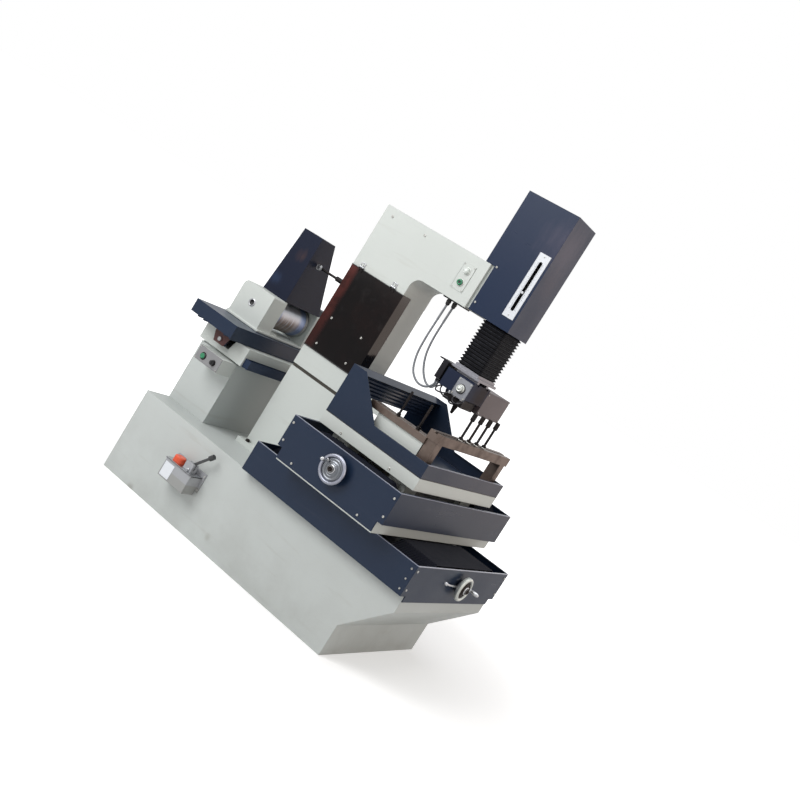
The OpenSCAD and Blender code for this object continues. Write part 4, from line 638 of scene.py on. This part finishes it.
wheels = {"y": {"body": "y_drive", "grip": "y_handle", "place": (0.419, -0.587, 0.672),
                "axis": near, "radius": 0.0625, "handle": (0.38306, -0.587, 0.69275),
                "nodes": ("y_handwheel", "y_grip"), "rim": dialSteel, "web": webSteel, "wide": 0},
          "x": {"body": "x_drive", "grip": "x_handle", "place": (0.89, 0, 0.475),
                "axis": front, "radius": 0.056, "handle": (0.89, 0.03447, 0.48108),
                "nodes": ("x_handwheel", "x_grip"), "rim": satinRim, "web": blackOxide,
                "wide": 0.007}}
rim = {"thick": 0.0075, "bead": 0.0003, "height": 0.029}
dial = {"radius": 0.0308, "marks": 80, "low": 0.0022, "high": 0.009}


# A handwheel's rim: a circle swept round, six fine beads on it (a small cosine on its radius),
# with its back pushed out where the wheel is wide
def rimProfile(radius, wide):
    turn = np.radians(np.linspace(0, 360, 29))
    thick = rim["thick"] + rim["bead"] * np.cos(6 * turn)
    back = np.where(np.sin(turn) < -0.3, wide, 0)
    return np.stack([radius - rim["thick"] + thick * np.cos(turn),
                     rim["height"] + thick * np.sin(turn) - back], -1)


# A handwheel's web: a thin dished disc from the hub to just inside the rim, with two raised rings
def webProfile(radius):
    edge = radius - 0.0135
    return [(edge, 0.027), (edge - 0.006, 0.0252), (0.034, 0.0246), (0.0225, 0.0232),
            (0.0185, 0.02), (0.0185, 0.0385), (0.0205, 0.0376), (0.0225, 0.0348),
            (0.0262, 0.0336), (0.027, 0.035), (0.0288, 0.035), (0.0296, 0.033),
            (edge - 0.01, 0.0316), (edge - 0.009, 0.0334), (edge - 0.0066, 0.0334),
            (edge - 0.0056, 0.0312), (edge, 0.0308), (edge, 0.027)]


hubProfile = [(0.0127, 0), (0.029, 0), (0.0308, 0.0012), (0.0308, 0.0108), (0.0298, 0.0122),
              (0.0272, 0.0132), (0.0272, 0.0152), (0.0258, 0.0166), (0.0206, 0.018),
              (0.0186, 0.0205), (0.0186, 0.0385), (0.018, 0.0412), (0.0164, 0.0424),
              (0.0127, 0.0424)]
handleProfile = [(0.0001, 0.03), (0.0042, 0.03), (0.0042, 0.0385), (0.0072, 0.039),
                 (0.008, 0.0402), (0.008, 0.0418), (0.0062, 0.0432), (0.0058, 0.045),
                 (0.007, 0.05), (0.0085, 0.058), (0.0091, 0.066), (0.0088, 0.074),
                 (0.0074, 0.0805), (0.005, 0.0845), (0.0022, 0.0855), (0.0001, 0.0855)]
nutProfile = [(0.0001, 0.0475), (0.005, 0.0475), (0.0052, 0.05), (0.01, 0.05),
              (0.0112, 0.049), (0.0112, 0.044), (0.015, 0.0438), (0.015, 0.0425)]


# Plain graduation marks: thin bars standing on a turned collar, every fifth one longer
def ticks(place, axis, radius, low, high, count, wide=0.0004, raised=0.00015):
    u, v, w = frameOf(axis)
    parts = []
    for k in range(count):
        a = 2 * np.pi * k / count
        out, along = math.cos(a) * u + math.sin(a) * v, -math.sin(a) * u + math.cos(a) * v
        top = high if k % 5 == 0 else low + (high - low) * 0.6
        corners = [np.asarray(place) + (radius + r) * out + q * wide * along + h * w
                   for r in (0, raised) for q, h in ((-1, low), (1, low), (1, top), (-1, top))]
        parts.append((corners, [[0, 1, 2, 3], [4, 5, 6, 7], [0, 1, 5, 4], [1, 2, 6, 5],
                                [2, 3, 7, 6], [3, 0, 4, 7]]))
    return joined(parts)


for key, w in wheels.items():
    body, at, axis = w["body"], [w["place"]], w["axis"]
    outer = rings(key + "_wheel_rim", body, "chrome", w["rim"], rimProfile(w["radius"], w["wide"]),
                  at, axis, 96)
    web = rings(key + "_wheel_web", body, "chrome", w["web"], webProfile(w["radius"]), at, axis, 72)
    hub = rings(key + "_wheel_hub", body, "chrome", chrome, hubProfile, at, axis, 120,
                knurled=(5, 6))
    rings(key + "_wheel_nut", body, "black", blackOxide, nutProfile, at, axis, hexRings=(3, 4, 5))
    handle = rings(key + "_wheel_handle", w["grip"], "chrome", chrome, handleProfile,
                   [w["handle"]], axis, 40)
    marks = ticks(w["place"], axis, dial["radius"], dial["low"], dial["high"], dial["marks"])
    meshPiece(key + "_dial_marks", marks, body, blackPlastic, smooth=False)
    for piece in (outer, web, hub):
        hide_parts(w["nodes"][0])
    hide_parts(w["nodes"][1])
print("handwheels turned")

# The lock lever beside the X handwheel
lever = {"path": ((0.893, -0.152, 0.484), (0.897, -0.11, 0.479), (0.899, -0.046, 0.475)),
         "radius": 0.0042, "boss": [(0.0001, 0.014), (0.005, 0.014), (0.0068, 0.0125), (0.0072, 0)]}
meshPiece("lock_lever", tube(smoothPath(lever["path"], 8), lever["radius"]), "frame", chrome)
rings("lock_lever_boss", "frame", "chrome", chrome, lever["boss"], [(0.887, -0.148, 0.483)], front,
      32)

# The scale on the Z cover: plain marks on both sides of its slot, longer at every 5th and 10th
scale = {"slot": (1.566, 1.797), "step": 0.005, "half": 0.0004, "y": (-0.11325, -0.113),
         "starts": ((0.4805, 1), (0.4615, -1)), "long": (0.01, 0.007, 0.0045)}
marks = []
for k, z in enumerate(np.arange(scale["slot"][0] + 0.005, scale["slot"][1] - 0.004,
                                scale["step"])):
    long = scale["long"][0 if k % 10 == 0 else 1 if k % 5 == 0 else 2]
    for x, way in scale["starts"]:
        a, b = sorted((x, x + way * long))
        marks.append(((a, scale["y"][0], z - scale["half"]), (b, scale["y"][1], z + scale["half"])))
bars("scale_marks", "frame", blackPlastic, marks, 0.0001)
bars("scale_frame", "frame", whitePlastic,
     [((x, -0.1138, 1.531), (x + 0.0015, -0.113, 1.834)) for x in (0.4425, 0.498)], 0.0003, 2)
screwSet("scale_screws", "frame", spots(0.471, -0.113, (1.543, 1.822)), near, 0.006, 0.002)
rings("scale_pointer", "z_slide_body", "white", whitePlastic,
      [(0.0001, 0.0052), (0.003, 0.005), (0.0054, 0.0036), (0.0058, 0.002), (0.0058, 0.0006),
       (0.0001, 0.0006)], [(0.471, -0.1135, 1.651)], near, 32)
print("scale marked")

# The smoked cover of the wire chamber: near black, with a painted reddish reflection stripe at its
# left, stronger above
smoke = Finish("smokedAcrylic", Specular_IOR_Level=0.35)
along, _, height = smoke.apart()
reflectionStripe = (smoke.band(along, -0.296, -0.262, 1.0, 0.0)
            * smoke.band(smoke.noise(7.0, 3.0, 0.6), 0.28, 0.58)
            * smoke.band(height, 1.0, 1.22, 0.35, 1.0))
deepPatch = smoke.band(smoke.noise(4.0, 4.0, 0.65), 0.42, 0.75)
inside = smoke.blended(deepPatch * 0.5, tone(14, 11, 12), tone(34, 20, 18))
smoke.feed("Base Color", smoke.blended(reflectionStripe, inside, tone(84, 40, 36)))
smoke.feed("Roughness", 0.09 + 0.1 * smoke.band(smoke.noise(30.0, 3.0), 0.5, 0.8))
dress(smoke.relief(smoke.noise(12.0, 1.0), 0.03, 0.002, 0.001).material, "smoked_cover")

hinges = {"x": (-0.266, -0.071), "half": 0.013, "screws": (-0.007, 0.007)}
bars("hinge_leaves", "frame", chrome,
     [((x - hinges["half"], -0.1205, 1.3885), (x + hinges["half"], -0.118, 1.4065))
      for x in hinges["x"]], 0.0008, 2)
rings("hinge_barrels", "frame", "steel", chrome,
      [(0.0001, -0.0142), (0.0036, -0.0142), (0.0045, -0.0134), (0.0045, -0.0043),
       (0.0041, -0.004), (0.0041, 0.004), (0.0045, 0.0043), (0.0045, 0.0134), (0.0036, 0.0142),
       (0.0001, 0.0142)], spots(hinges["x"], -0.124, 1.384), front, 32)
screwSet("hinge_screws", "frame",
         [(x + d, -0.1205, 1.398) for x in hinges["x"] for d in hinges["screws"]], near, 0.0055,
         0.0018)
bars("cover_rim", "chamber_door", blackPlastic,
     [((-0.321, -0.124, low), (-0.0042, -0.1212, low + 0.0035)) for low in (0.952, 1.3745)],
     0.0008)
print("chamber cover finished")

drum = {"centre": (-0.626, 0.0, 0.979), "wound": (-0.066, 0.156), "core": 0.0749,
        "radius": 0.0752, "strand": 0.0026, "ridge": 0.00022, "uneven": 0.00025}


# The winding: a cylinder whose radius rises by a wave per turn of wire and by slow unevenness
def windingProfile():
    y = np.linspace(*drum["wound"], 340)
    turnWave = drum["ridge"] * np.abs(np.sin((y - y[0]) / drum["strand"] * np.pi))
    slow = drum["uneven"] * np.sin(y * 61) * np.sin(y * 23 + 1)
    top = zip(drum["radius"] + turnWave + slow, y)
    return [(drum["core"], y[0]), *top, (drum["core"], y[-1])]


# Wound wire: bright and finely lined, blue towards both ends and golden along its lower half
wire = Finish("woundWire", Metallic=0.55)
_, along, height = wire.apart()
fine = wire.streaks((3, 900, 3))
blueBand = wire.band(along, -0.066, -0.04, 1.0, 0.0) + wire.band(along, 0.09, 0.13)
patches = wire.band(wire.streaks((4, 40, 4)), 0.25, 0.55)
gold = wire.band(height, 0.96, 1.01, 0.85, 0.0) * patches
plain = wire.blended(fine, tone(168, 172, 182), tone(216, 220, 226))
golden = wire.blended(gold, plain, tone(112, 88, 72))
wire.feed("Base Color", wire.blended(blueBand * 0.75, golden, tone(116, 140, 186)))
wire.feed("Roughness", 0.24 + 0.16 * fine)
meshPiece("wire_winding", turned(windingProfile(), drum["centre"], far, 128), "drum",
          wire.relief(fine, 0.25, 0.0003).material)
rings("shaft_collars", "drum_slide", "steel", chrome,
      [(0.0128, 0), (0.0128, 0.003), (0.0145, 0.0036), (0.0185, 0.003), (0.0195, 0)],
      [(-0.626, -0.205, 0.979)], near)
rings("shaft_recess", "drum_slide", "black", blackPlastic,
      [(0.0001, 0.0006), (0.0124, 0.0006), (0.0124, 0.005)], [(-0.626, -0.1995, 0.979)], near, 40)
bars("bracket_base", "drum_slide", cream,
     [((-0.722, -0.212, 0.8785), (-0.515, 0.226, 0.889))], 0.003, 1)
print("drum wound")

motor = {"fins": 30, "y": (0.288, 0.418), "low": 0.062, "high": 0.0672,
         "rounding": ((0.0, 0.2), (0.002, 0.8), (0.006, 1.0), (0.5, 1.0), (0.994, 1.0),
                      (0.998, 0.8), (1.0, 0.2))}


# Motor body: an outline whose radius is a steep wave round the shaft, carried along Y. Each pair
# of its rounding is a share of the length and the share of the fins' height there
def finnedBody():
    angle = np.linspace(0, 2 * np.pi, motor["fins"] * 8, endpoint=False)
    wave = np.clip(0.5 + 1.1 * np.cos(motor["fins"] * angle), 0, 1)
    along, share = np.array(motor["rounding"]).T[..., None]
    r = motor["low"] + (motor["high"] - motor["low"]) * wave * share
    y = motor["y"][0] + along * np.ptp(motor["y"]) + 0 * r
    x, z = drum["centre"][0] + r * np.cos(angle), drum["centre"][2] + r * np.sin(angle)
    return np.stack([x, y, z], -1), gridFaces(len(share), len(angle))


meshPiece("motor_fins", finnedBody(), "drum_slide", motorGrey, smooth=False)
rings("motor_cowl", "drum_slide", "black", motorGrey,
      [(0.0622, 0), (0.065, 0.001), (0.065, 0.012), (0.061, 0.017), (0.02, 0.0185),
       (0.0001, 0.0185)], [(-0.626, 0.419, 0.979)], far, 64)
bars("motor_terminal_box", "drum_slide", motorGrey,
     [((-0.662, 0.315, 1.038), (-0.59, 0.385, 1.078)),
      ((-0.664, 0.313, 1.076), (-0.588, 0.387, 1.082))], 0.004, 2)
rings("motor_gland", "drum_slide", "black", blackPlastic,
      [(0.0001, 0.018), (0.006, 0.018), (0.0085, 0.014), (0.0085, 0.008), (0.01, 0.007),
       (0.01, 0)], [(-0.588, 0.35, 1.058)], front, 36, hexRings=(4, 5))
print("motor finned")

# The traverse screw's end plates: half widths and heights from the top down, and the two spans
endPlate = {"x": -0.572, "half": (0.05, 0.047, 0.0335), "z": (0.8155, 0.795, 0.7545),
            "corner": 0.006, "y": ((-0.3425, -0.3395), (0.3395, 0.3425))}


# End plate: a tapered outline in X and Z with rounded lower corners, given a thickness along Y
def taperedPlate(span):
    (top, waist, foot), (high, bend, low) = endPlate["half"], endPlate["z"]
    r, turn = endPlate["corner"], np.radians(np.linspace(0, -90, 6))
    corner = np.stack([foot - r + r * np.cos(turn), low + r + r * np.sin(turn)], -1)
    outline = np.concatenate([[(-top, high), (top, high), (waist, bend)], corner,
                              corner[::-1] * (-1, 1), [(-waist, bend)]])
    points = [np.insert(outline + (endPlate["x"], 0), 1, y, axis=1) for y in span]
    return np.stack(points), cappedFaces(2, len(outline))


meshPiece("screw_end_plates", joined([taperedPlate(span) for span in endPlate["y"]]), "drum_slide",
          plateRed, smooth=False)

# The control box on the drum's pedestal, with its push at the left and its knob at the right
box = {"face": -0.3868, "push": (-0.571, 0.676), "knob": (-0.505, 0.676)}
bars("control_plate", "frame", greyPlate,
     [((-0.6135, box["face"], 0.6475), (-0.4655, -0.385, 0.7135))], 0.003, 1)
rings("control_bezels", "frame", "black", blackOxide,
      [(0.0138, 0), (0.0138, 0.003), (0.015, 0.0036), (0.0168, 0.0026), (0.0176, 0)],
      [(box["push"][0], box["face"], box["push"][1])], near)
rings("knob_bezel", "frame", "black", blackOxide,
      [(0.0116, 0), (0.0116, 0.0022), (0.0128, 0.0028), (0.0142, 0)],
      [(box["knob"][0], box["face"], box["knob"][1])], near)
screwSet("control_screws", "frame", spots((-0.607, -0.472), box["face"], (0.654, 0.707)), near,
         0.006, 0.002)
rings("control_push_ring", "box_push", "green", greenPlastic,
      [(0.0001, 0.003), (0.007, 0.0028), (0.0084, 0.0036), (0.011, 0.0036), (0.0126, 0.0022),
       (0.0128, 0), (0.0088, 0)], [(box["push"][0], -0.393, box["push"][1])], near)
bars("control_knob_bar", "box_turn", blackPlastic,
     [((-0.5085, -0.4052, 0.6668), (-0.5015, -0.401, 0.6852))], 0.0015, 2)

# The panel on the arm: a lamp over a push
panel = {"x": 0.199, "push": 1.554, "lamp": 1.609}
rings("panel_bezels", "frame", "chrome", satinRim,
      [(0.0142, 0), (0.0142, 0.003), (0.0154, 0.0038), (0.0172, 0.003), (0.0182, 0)],
      [(panel["x"], -0.12, panel["push"]), (panel["x"], -0.1205, panel["lamp"])], near)
lens = Finish("lampLens", Specular_IOR_Level=0.6, Coat_Weight=0.8, Coat_Roughness=0.05)
cloudy = lens.band(lens.noise(160.0, 2.0), 0.4, 0.7)
lens.feed("Base Color", lens.blended(cloudy, tone(206, 216, 210), tone(238, 242, 238)))
lens.feed("Roughness", 0.14 + 0.1 * lens.noise(90.0, 2.0))
rings("lamp_lens", "frame", "white", lens.material,
      [(0.0001, 0.0112), (0.004, 0.011), (0.008, 0.0098), (0.0112, 0.0074), (0.0132, 0.004),
       (0.0138, 0), (0.0138, -0.003)], [(panel["x"], -0.124, panel["lamp"])], near)
rings("arm_push_cap", "arm_push", "green", greenPlastic,
      [(0.006, 0.0022), (0.0078, 0.0034), (0.0112, 0.0036), (0.013, 0.0024), (0.0134, 0),
       (0.009, 0)], [(panel["x"], -0.127, panel["push"])], near)
rings("arm_push_ring", "arm_push", "black", blackPlastic,
      [(0.0001, 0.0012), (0.004, 0.0012), (0.006, 0.0022), (0.0062, 0)],
      [(panel["x"], -0.128, panel["push"])], near, 36)
bars("panel_border", "frame", cream,
     [((x, -0.1207, 1.518), (x + 0.002, -0.12, 1.641)) for x in (0.1665, 0.2295)], 0.0003, 2)
print("controls fitted")

# The taper head's plate and its V dial, with the same marks as the handwheels' dials
vDial = {"place": (0.4615, -0.1026, 1.174), "radius": 0.019, "marks": 50, "low": 0.0012,
         "high": 0.0052, "wide": 0.0003}
bars("face_plate", "u_body", headSilver,
     [((0.4282, -0.1034, 1.1342), (0.5028, -0.1016, 1.2178))], 0.003, 1)
piece = rings("v_dial", "v_knob_body", "chrome", satinRim,
              [(0.0046, 0), (0.0186, 0), (0.019, 0.001), (0.019, 0.006), (0.0182, 0.0072),
               (0.015, 0.0078), (0.0148, 0.0095), (0.0148, 0.018), (0.014, 0.0196),
               (0.0118, 0.0202), (0.0104, 0.0192), (0.0072, 0.0188), (0.0066, 0.02),
               (0.0055, 0.0206), (0.0001, 0.0208)], [vDial["place"]], near, 120,
              knurled=(6, 7), teeth=30)
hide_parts("v_knob")
marks = ticks(vDial["place"], near, vDial["radius"], vDial["low"], vDial["high"], vDial["marks"],
              vDial["wide"])
meshPiece("v_dial_marks", marks, "v_knob_body", blackPlastic, smooth=False)
rings("v_dial_seat", "u_body", "black", blackOxide,
      [(0.005, 0), (0.0212, 0), (0.0222, -0.0006), (0.0222, -0.0012)],
      [(0.4615, -0.104, 1.174)], near)

# Short hoses under the head, and the nuts and fittings that they and the long ones end in
pipes = (((0.368, -0.082, 1.144), (0.374, -0.09, 1.124), (0.398, -0.096, 1.11),
          (0.424, -0.094, 1.112), (0.444, -0.09, 1.098), (0.466, -0.09, 1.104),
          (0.48, -0.088, 1.122), (0.482, -0.088, 1.136)),
         ((0.362, -0.07, 1.144), (0.352, -0.088, 1.126), (0.362, -0.1, 1.112),
          (0.392, -0.102, 1.116), (0.414, -0.098, 1.128), (0.42, -0.096, 1.14)),
         ((0.492, -0.07, 1.144), (0.494, -0.09, 1.128), (0.484, -0.098, 1.114),
          (0.464, -0.096, 1.108), (0.448, -0.092, 1.116), (0.446, -0.09, 1.136)))
meshPiece("head_pipes", joined([tube(smoothPath(route, 9), 0.0034, 14) for route in pipes]),
          "u_body", darkHose)
rings("pipe_nuts", "u_body", "steel", chrome,
      [(0.0036, 0), (0.0036, 0.009), (0.0058, 0.0085), (0.0062, 0.0075), (0.0062, 0),
       (0.005, -0.004)],
      [(x, y, 1.1345) for x, y in ((0.482, -0.088), (0.42, -0.096), (0.446, -0.09))], up, 36,
      hexRings=(2, 3, 4))
rings("hose_ends", "z_slide_body", "steel", chrome,
      [(0.0054, -0.006), (0.0066, -0.005), (0.0066, 0.006), (0.0085, 0.007), (0.0085, 0.0125)],
      spots(0.326, (-0.072, -0.048), 1.146), up, 36, hexRings=(3, 4))
rings("gland_nuts", "frame", "black", blackPlastic,
      [(0.0056, -0.004), (0.0082, -0.002), (0.0098, 0.004), (0.0098, 0.01), (0.011, 0.0105),
       (0.011, 0.0195), (0.0098, 0.0205)], [hoses["left"][0], hoses["right"][0]], up, 36,
      hexRings=(4, 5))
bars("head_plate_edges", "z_slide_body", chrome,
     [((0.3655, -0.0985, 1.2475), (0.508, -0.0975, 1.25)),
      ((0.5072, -0.0985, 1.238), (0.5082, 0.0985, 1.25))], 0.0004)
bars("box_seams", "u_body", taupe,
     [((0.4995, 0.086, 1.2085), (0.5012, 0.339, 1.215)),
      ((0.4995, 0.086, 1.104), (0.5012, 0.339, 1.1085))], 0.0006, 1)
rings("motor_boss", "z_slide_body", "black", blackOxide,
      [(0.0001, 0), (0.01, 0), (0.011, 0.002), (0.011, 0.01)], [(0.319, 0.007, 1.186)], up, 32)
print("head fitted")

# The clamp bolts' nuts and washers, all on one line, and the two studs
clamps = {"x": 0.625, "y": (-0.196, -0.112, -0.028, 0.056), "studs": (0.42088, 0.5278)}
rings("bolt_nuts", "table", "black", blackOxide,
      [(0.0062, 0.0338), (0.0086, 0.0342), (0.01, 0.033), (0.0104, 0.0312), (0.0104, 0.003),
       (0.0098, 0.0004), (0.0058, 0)], spots(clamps["x"], clamps["y"], 1.0962), up,
      hexRings=(1, 2, 3, 4, 5))
rings("bolt_tops", "table", "black", blackOxide,
      [(0.0001, 0.0006), (0.0048, 0.0006), (0.0058, -0.0002), (0.0058, -0.008)],
      spots(clamps["x"], clamps["y"], 1.1302), up, 32)
rings("washers", "table", "steel", brightScrew,
      [(0.0056, 0), (0.0056, 0.003), (0.0112, 0.003), (0.0118, 0.0022), (0.0118, 0)],
      spots(clamps["x"], clamps["y"], 1.004), up, 36)
rings("rail_nuts", "table", "black", blackOxide,
      [(0.0057, 0), (0.0098, 0), (0.0104, 0.001), (0.0104, 0.0086), (0.0092, 0.0098),
       (0.0057, 0.0098)], spots(clamps["x"], clamps["y"], 1.007), up, 36, hexRings=(1, 2, 3, 4))
rings("thread_tops", "table", "black", blackOxide,
      [(0.0001, 0)] + [(0.0053 + 0.0004 * (k % 2), -0.0008 - 0.0009 * k) for k in range(60)],
      spots(clamps["studs"], -0.385, 1.0785), up, 24)

tankFolds = {"x": 0.168, "lean": 0.03, "deep": 0.005, "count": 5, "top": 1.02, "fall": 0.085,
             "y": (-0.4565, 0.3445), "wall": 0.0012}


# Folded sheet behind the tank's lip: a zigzag that leans out towards its top, carried along Y
def foldedSheet():
    t = np.linspace(0, 1, 81)[:, None]
    zigzag = np.abs((t * tankFolds["count"]) % 1 * 2 - 1)
    x = tankFolds["x"] + tankFolds["lean"] * (1 - t) ** 1.5 + tankFolds["deep"] * zigzag
    z = tankFolds["top"] - tankFolds["fall"] * t
    points = np.stack(np.broadcast_arrays(x, tankFolds["y"], z), -1)
    return points, gridFaces(len(t), 2, closed=False)


giveWall(meshPiece("tank_folds", foldedSheet(), "table", navy), tankFolds["wall"])
bars("tank_seal", "table", blackPlastic,
     [((0.1632, -0.461, 0.8205), (0.6868, -0.46, 0.8235)),
      ((0.6868, -0.46, 0.8205), (0.688, 0.348, 0.8235))], 0.0004)
print("table dressed")

# Way covers: front and rear are the fixed edge, the moving edge and the number of folds
wayCovers = {"x": {"bodies": ("frame", "saddle"), "axis": 0, "middle": 0.0, "top": 0.5568,
                   "flat": 0.292, "half": 0.452, "drop": 0.056, "front": (0.8765, 0.687, 15),
                   "rear": (-0.018, 0.151, 13)},
             "y": {"bodies": ("saddle", "table"), "axis": 1, "middle": 0.419, "top": 0.75,
                   "flat": 0.186, "half": 0.252, "drop": 0.05, "front": (-0.5785, -0.45, 11),
                   "rear": (0.5785, 0.338, 20)}}
coverSheet = {"wall": 0.0008, "wave": 0.0042, "slopeWave": 0.006, "rowsPerFold": 6}


# Way cover: an arched cross section (flat over the ways, then sloping down) repeated along the
# travel, each point let down by the height of a pointed wave with one crest per fold
def wayCover(c, first, last, count):
    rows = count * coverSheet["rowsPerFold"] + 1
    wave = np.abs((np.linspace(0, count, rows) % 1) * 2 - 1)[:, None]
    flat, half = c["flat"], c["half"]
    shoulder = (half + flat) / 2
    across = np.array([-half, -shoulder, -flat, -flat / 2, 0, flat / 2, flat, shoulder, half])
    slope = np.clip((np.abs(across) - flat) / (half - flat), 0, 1)
    points = np.zeros((rows, len(across), 3))
    points[..., c["axis"]] = np.linspace(first, last, rows)[:, None]
    points[..., 1 - c["axis"]] = c["middle"] + across
    wave = wave * (coverSheet["wave"] + coverSheet["slopeWave"] * slope)
    points[..., 2] = c["top"] - c["drop"] * slope - wave
    return points, gridFaces(rows, len(across), closed=False)


for key, c in wayCovers.items():
    for end in ("front", "rear"):
        first, last, count = c[end]
        piece = meshPiece(key + "_cover_" + end, wayCover(c, first, last, count), None, coverCloth,
                          smooth=False)
        giveWall(piece, coverSheet["wall"])
        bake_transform(piece)
print("way covers folded")

# The oil pump's tank is milky plastic, darker below the oil's surface
tankPlastic = Finish("oilTankPlastic", Specular_IOR_Level=0.5, Coat_Weight=0.3,
                     Coat_Roughness=0.15)
oil = tankPlastic.band(tankPlastic.apart()[2], 0.205, 0.209, 1.0, 0.0)
tankPlastic.feed("Base Color", tankPlastic.blended(oil * 0.55, tone(160, 162, 166),
                                                   tone(138, 138, 130)))
tankPlastic.feed("Roughness", 0.26 + 0.14 * tankPlastic.noise(20.0, 3.0))
dress(tankPlastic.relief(tankPlastic.noise(30.0, 2.0), 0.08, 0.001, 0.004).material, "oil_pump")
bars("oil_plate", "frame", whitePlastic,
     [((-0.3545, -0.5172, 0.17), (-0.2985, -0.516, 0.238))], 0.002, 1)
piece = rings("oil_cap_ribbed", "frame", "orange", orangePlastic,
              [(0.0001, 0.0258), (0.018, 0.0258), (0.0215, 0.0262), (0.024, 0.025),
               (0.0256, 0.0225), (0.026, 0.004), (0.0262, 0)], [(-0.325, -0.476, 0.254)], up,
              144, knurled=(4, 5, 6), teeth=24, deep=0.0009)
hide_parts("oil_cap")
screwSet("oil_screws", "frame", spots((-0.368, -0.194), -0.436, (0.196, 0.264)), near, 0.008,
         0.003)
rings("oil_outlet", "frame", "steel", chrome,
      [(0.0001, 0.014), (0.003, 0.014), (0.003, 0.009), (0.0056, 0.0085), (0.006, 0.0075),
       (0.006, 0), (0.0048, -0.002)], [(-0.246, -0.4936, 0.262)], (0, -1, 0.2), 36,
      hexRings=(3, 4))
bars("oil_lid", "frame", chrome,
     [((-0.3635, -0.519, 0.2482), (-0.1985, -0.4365, 0.2542))], 0.002)
print("oil pump fitted")
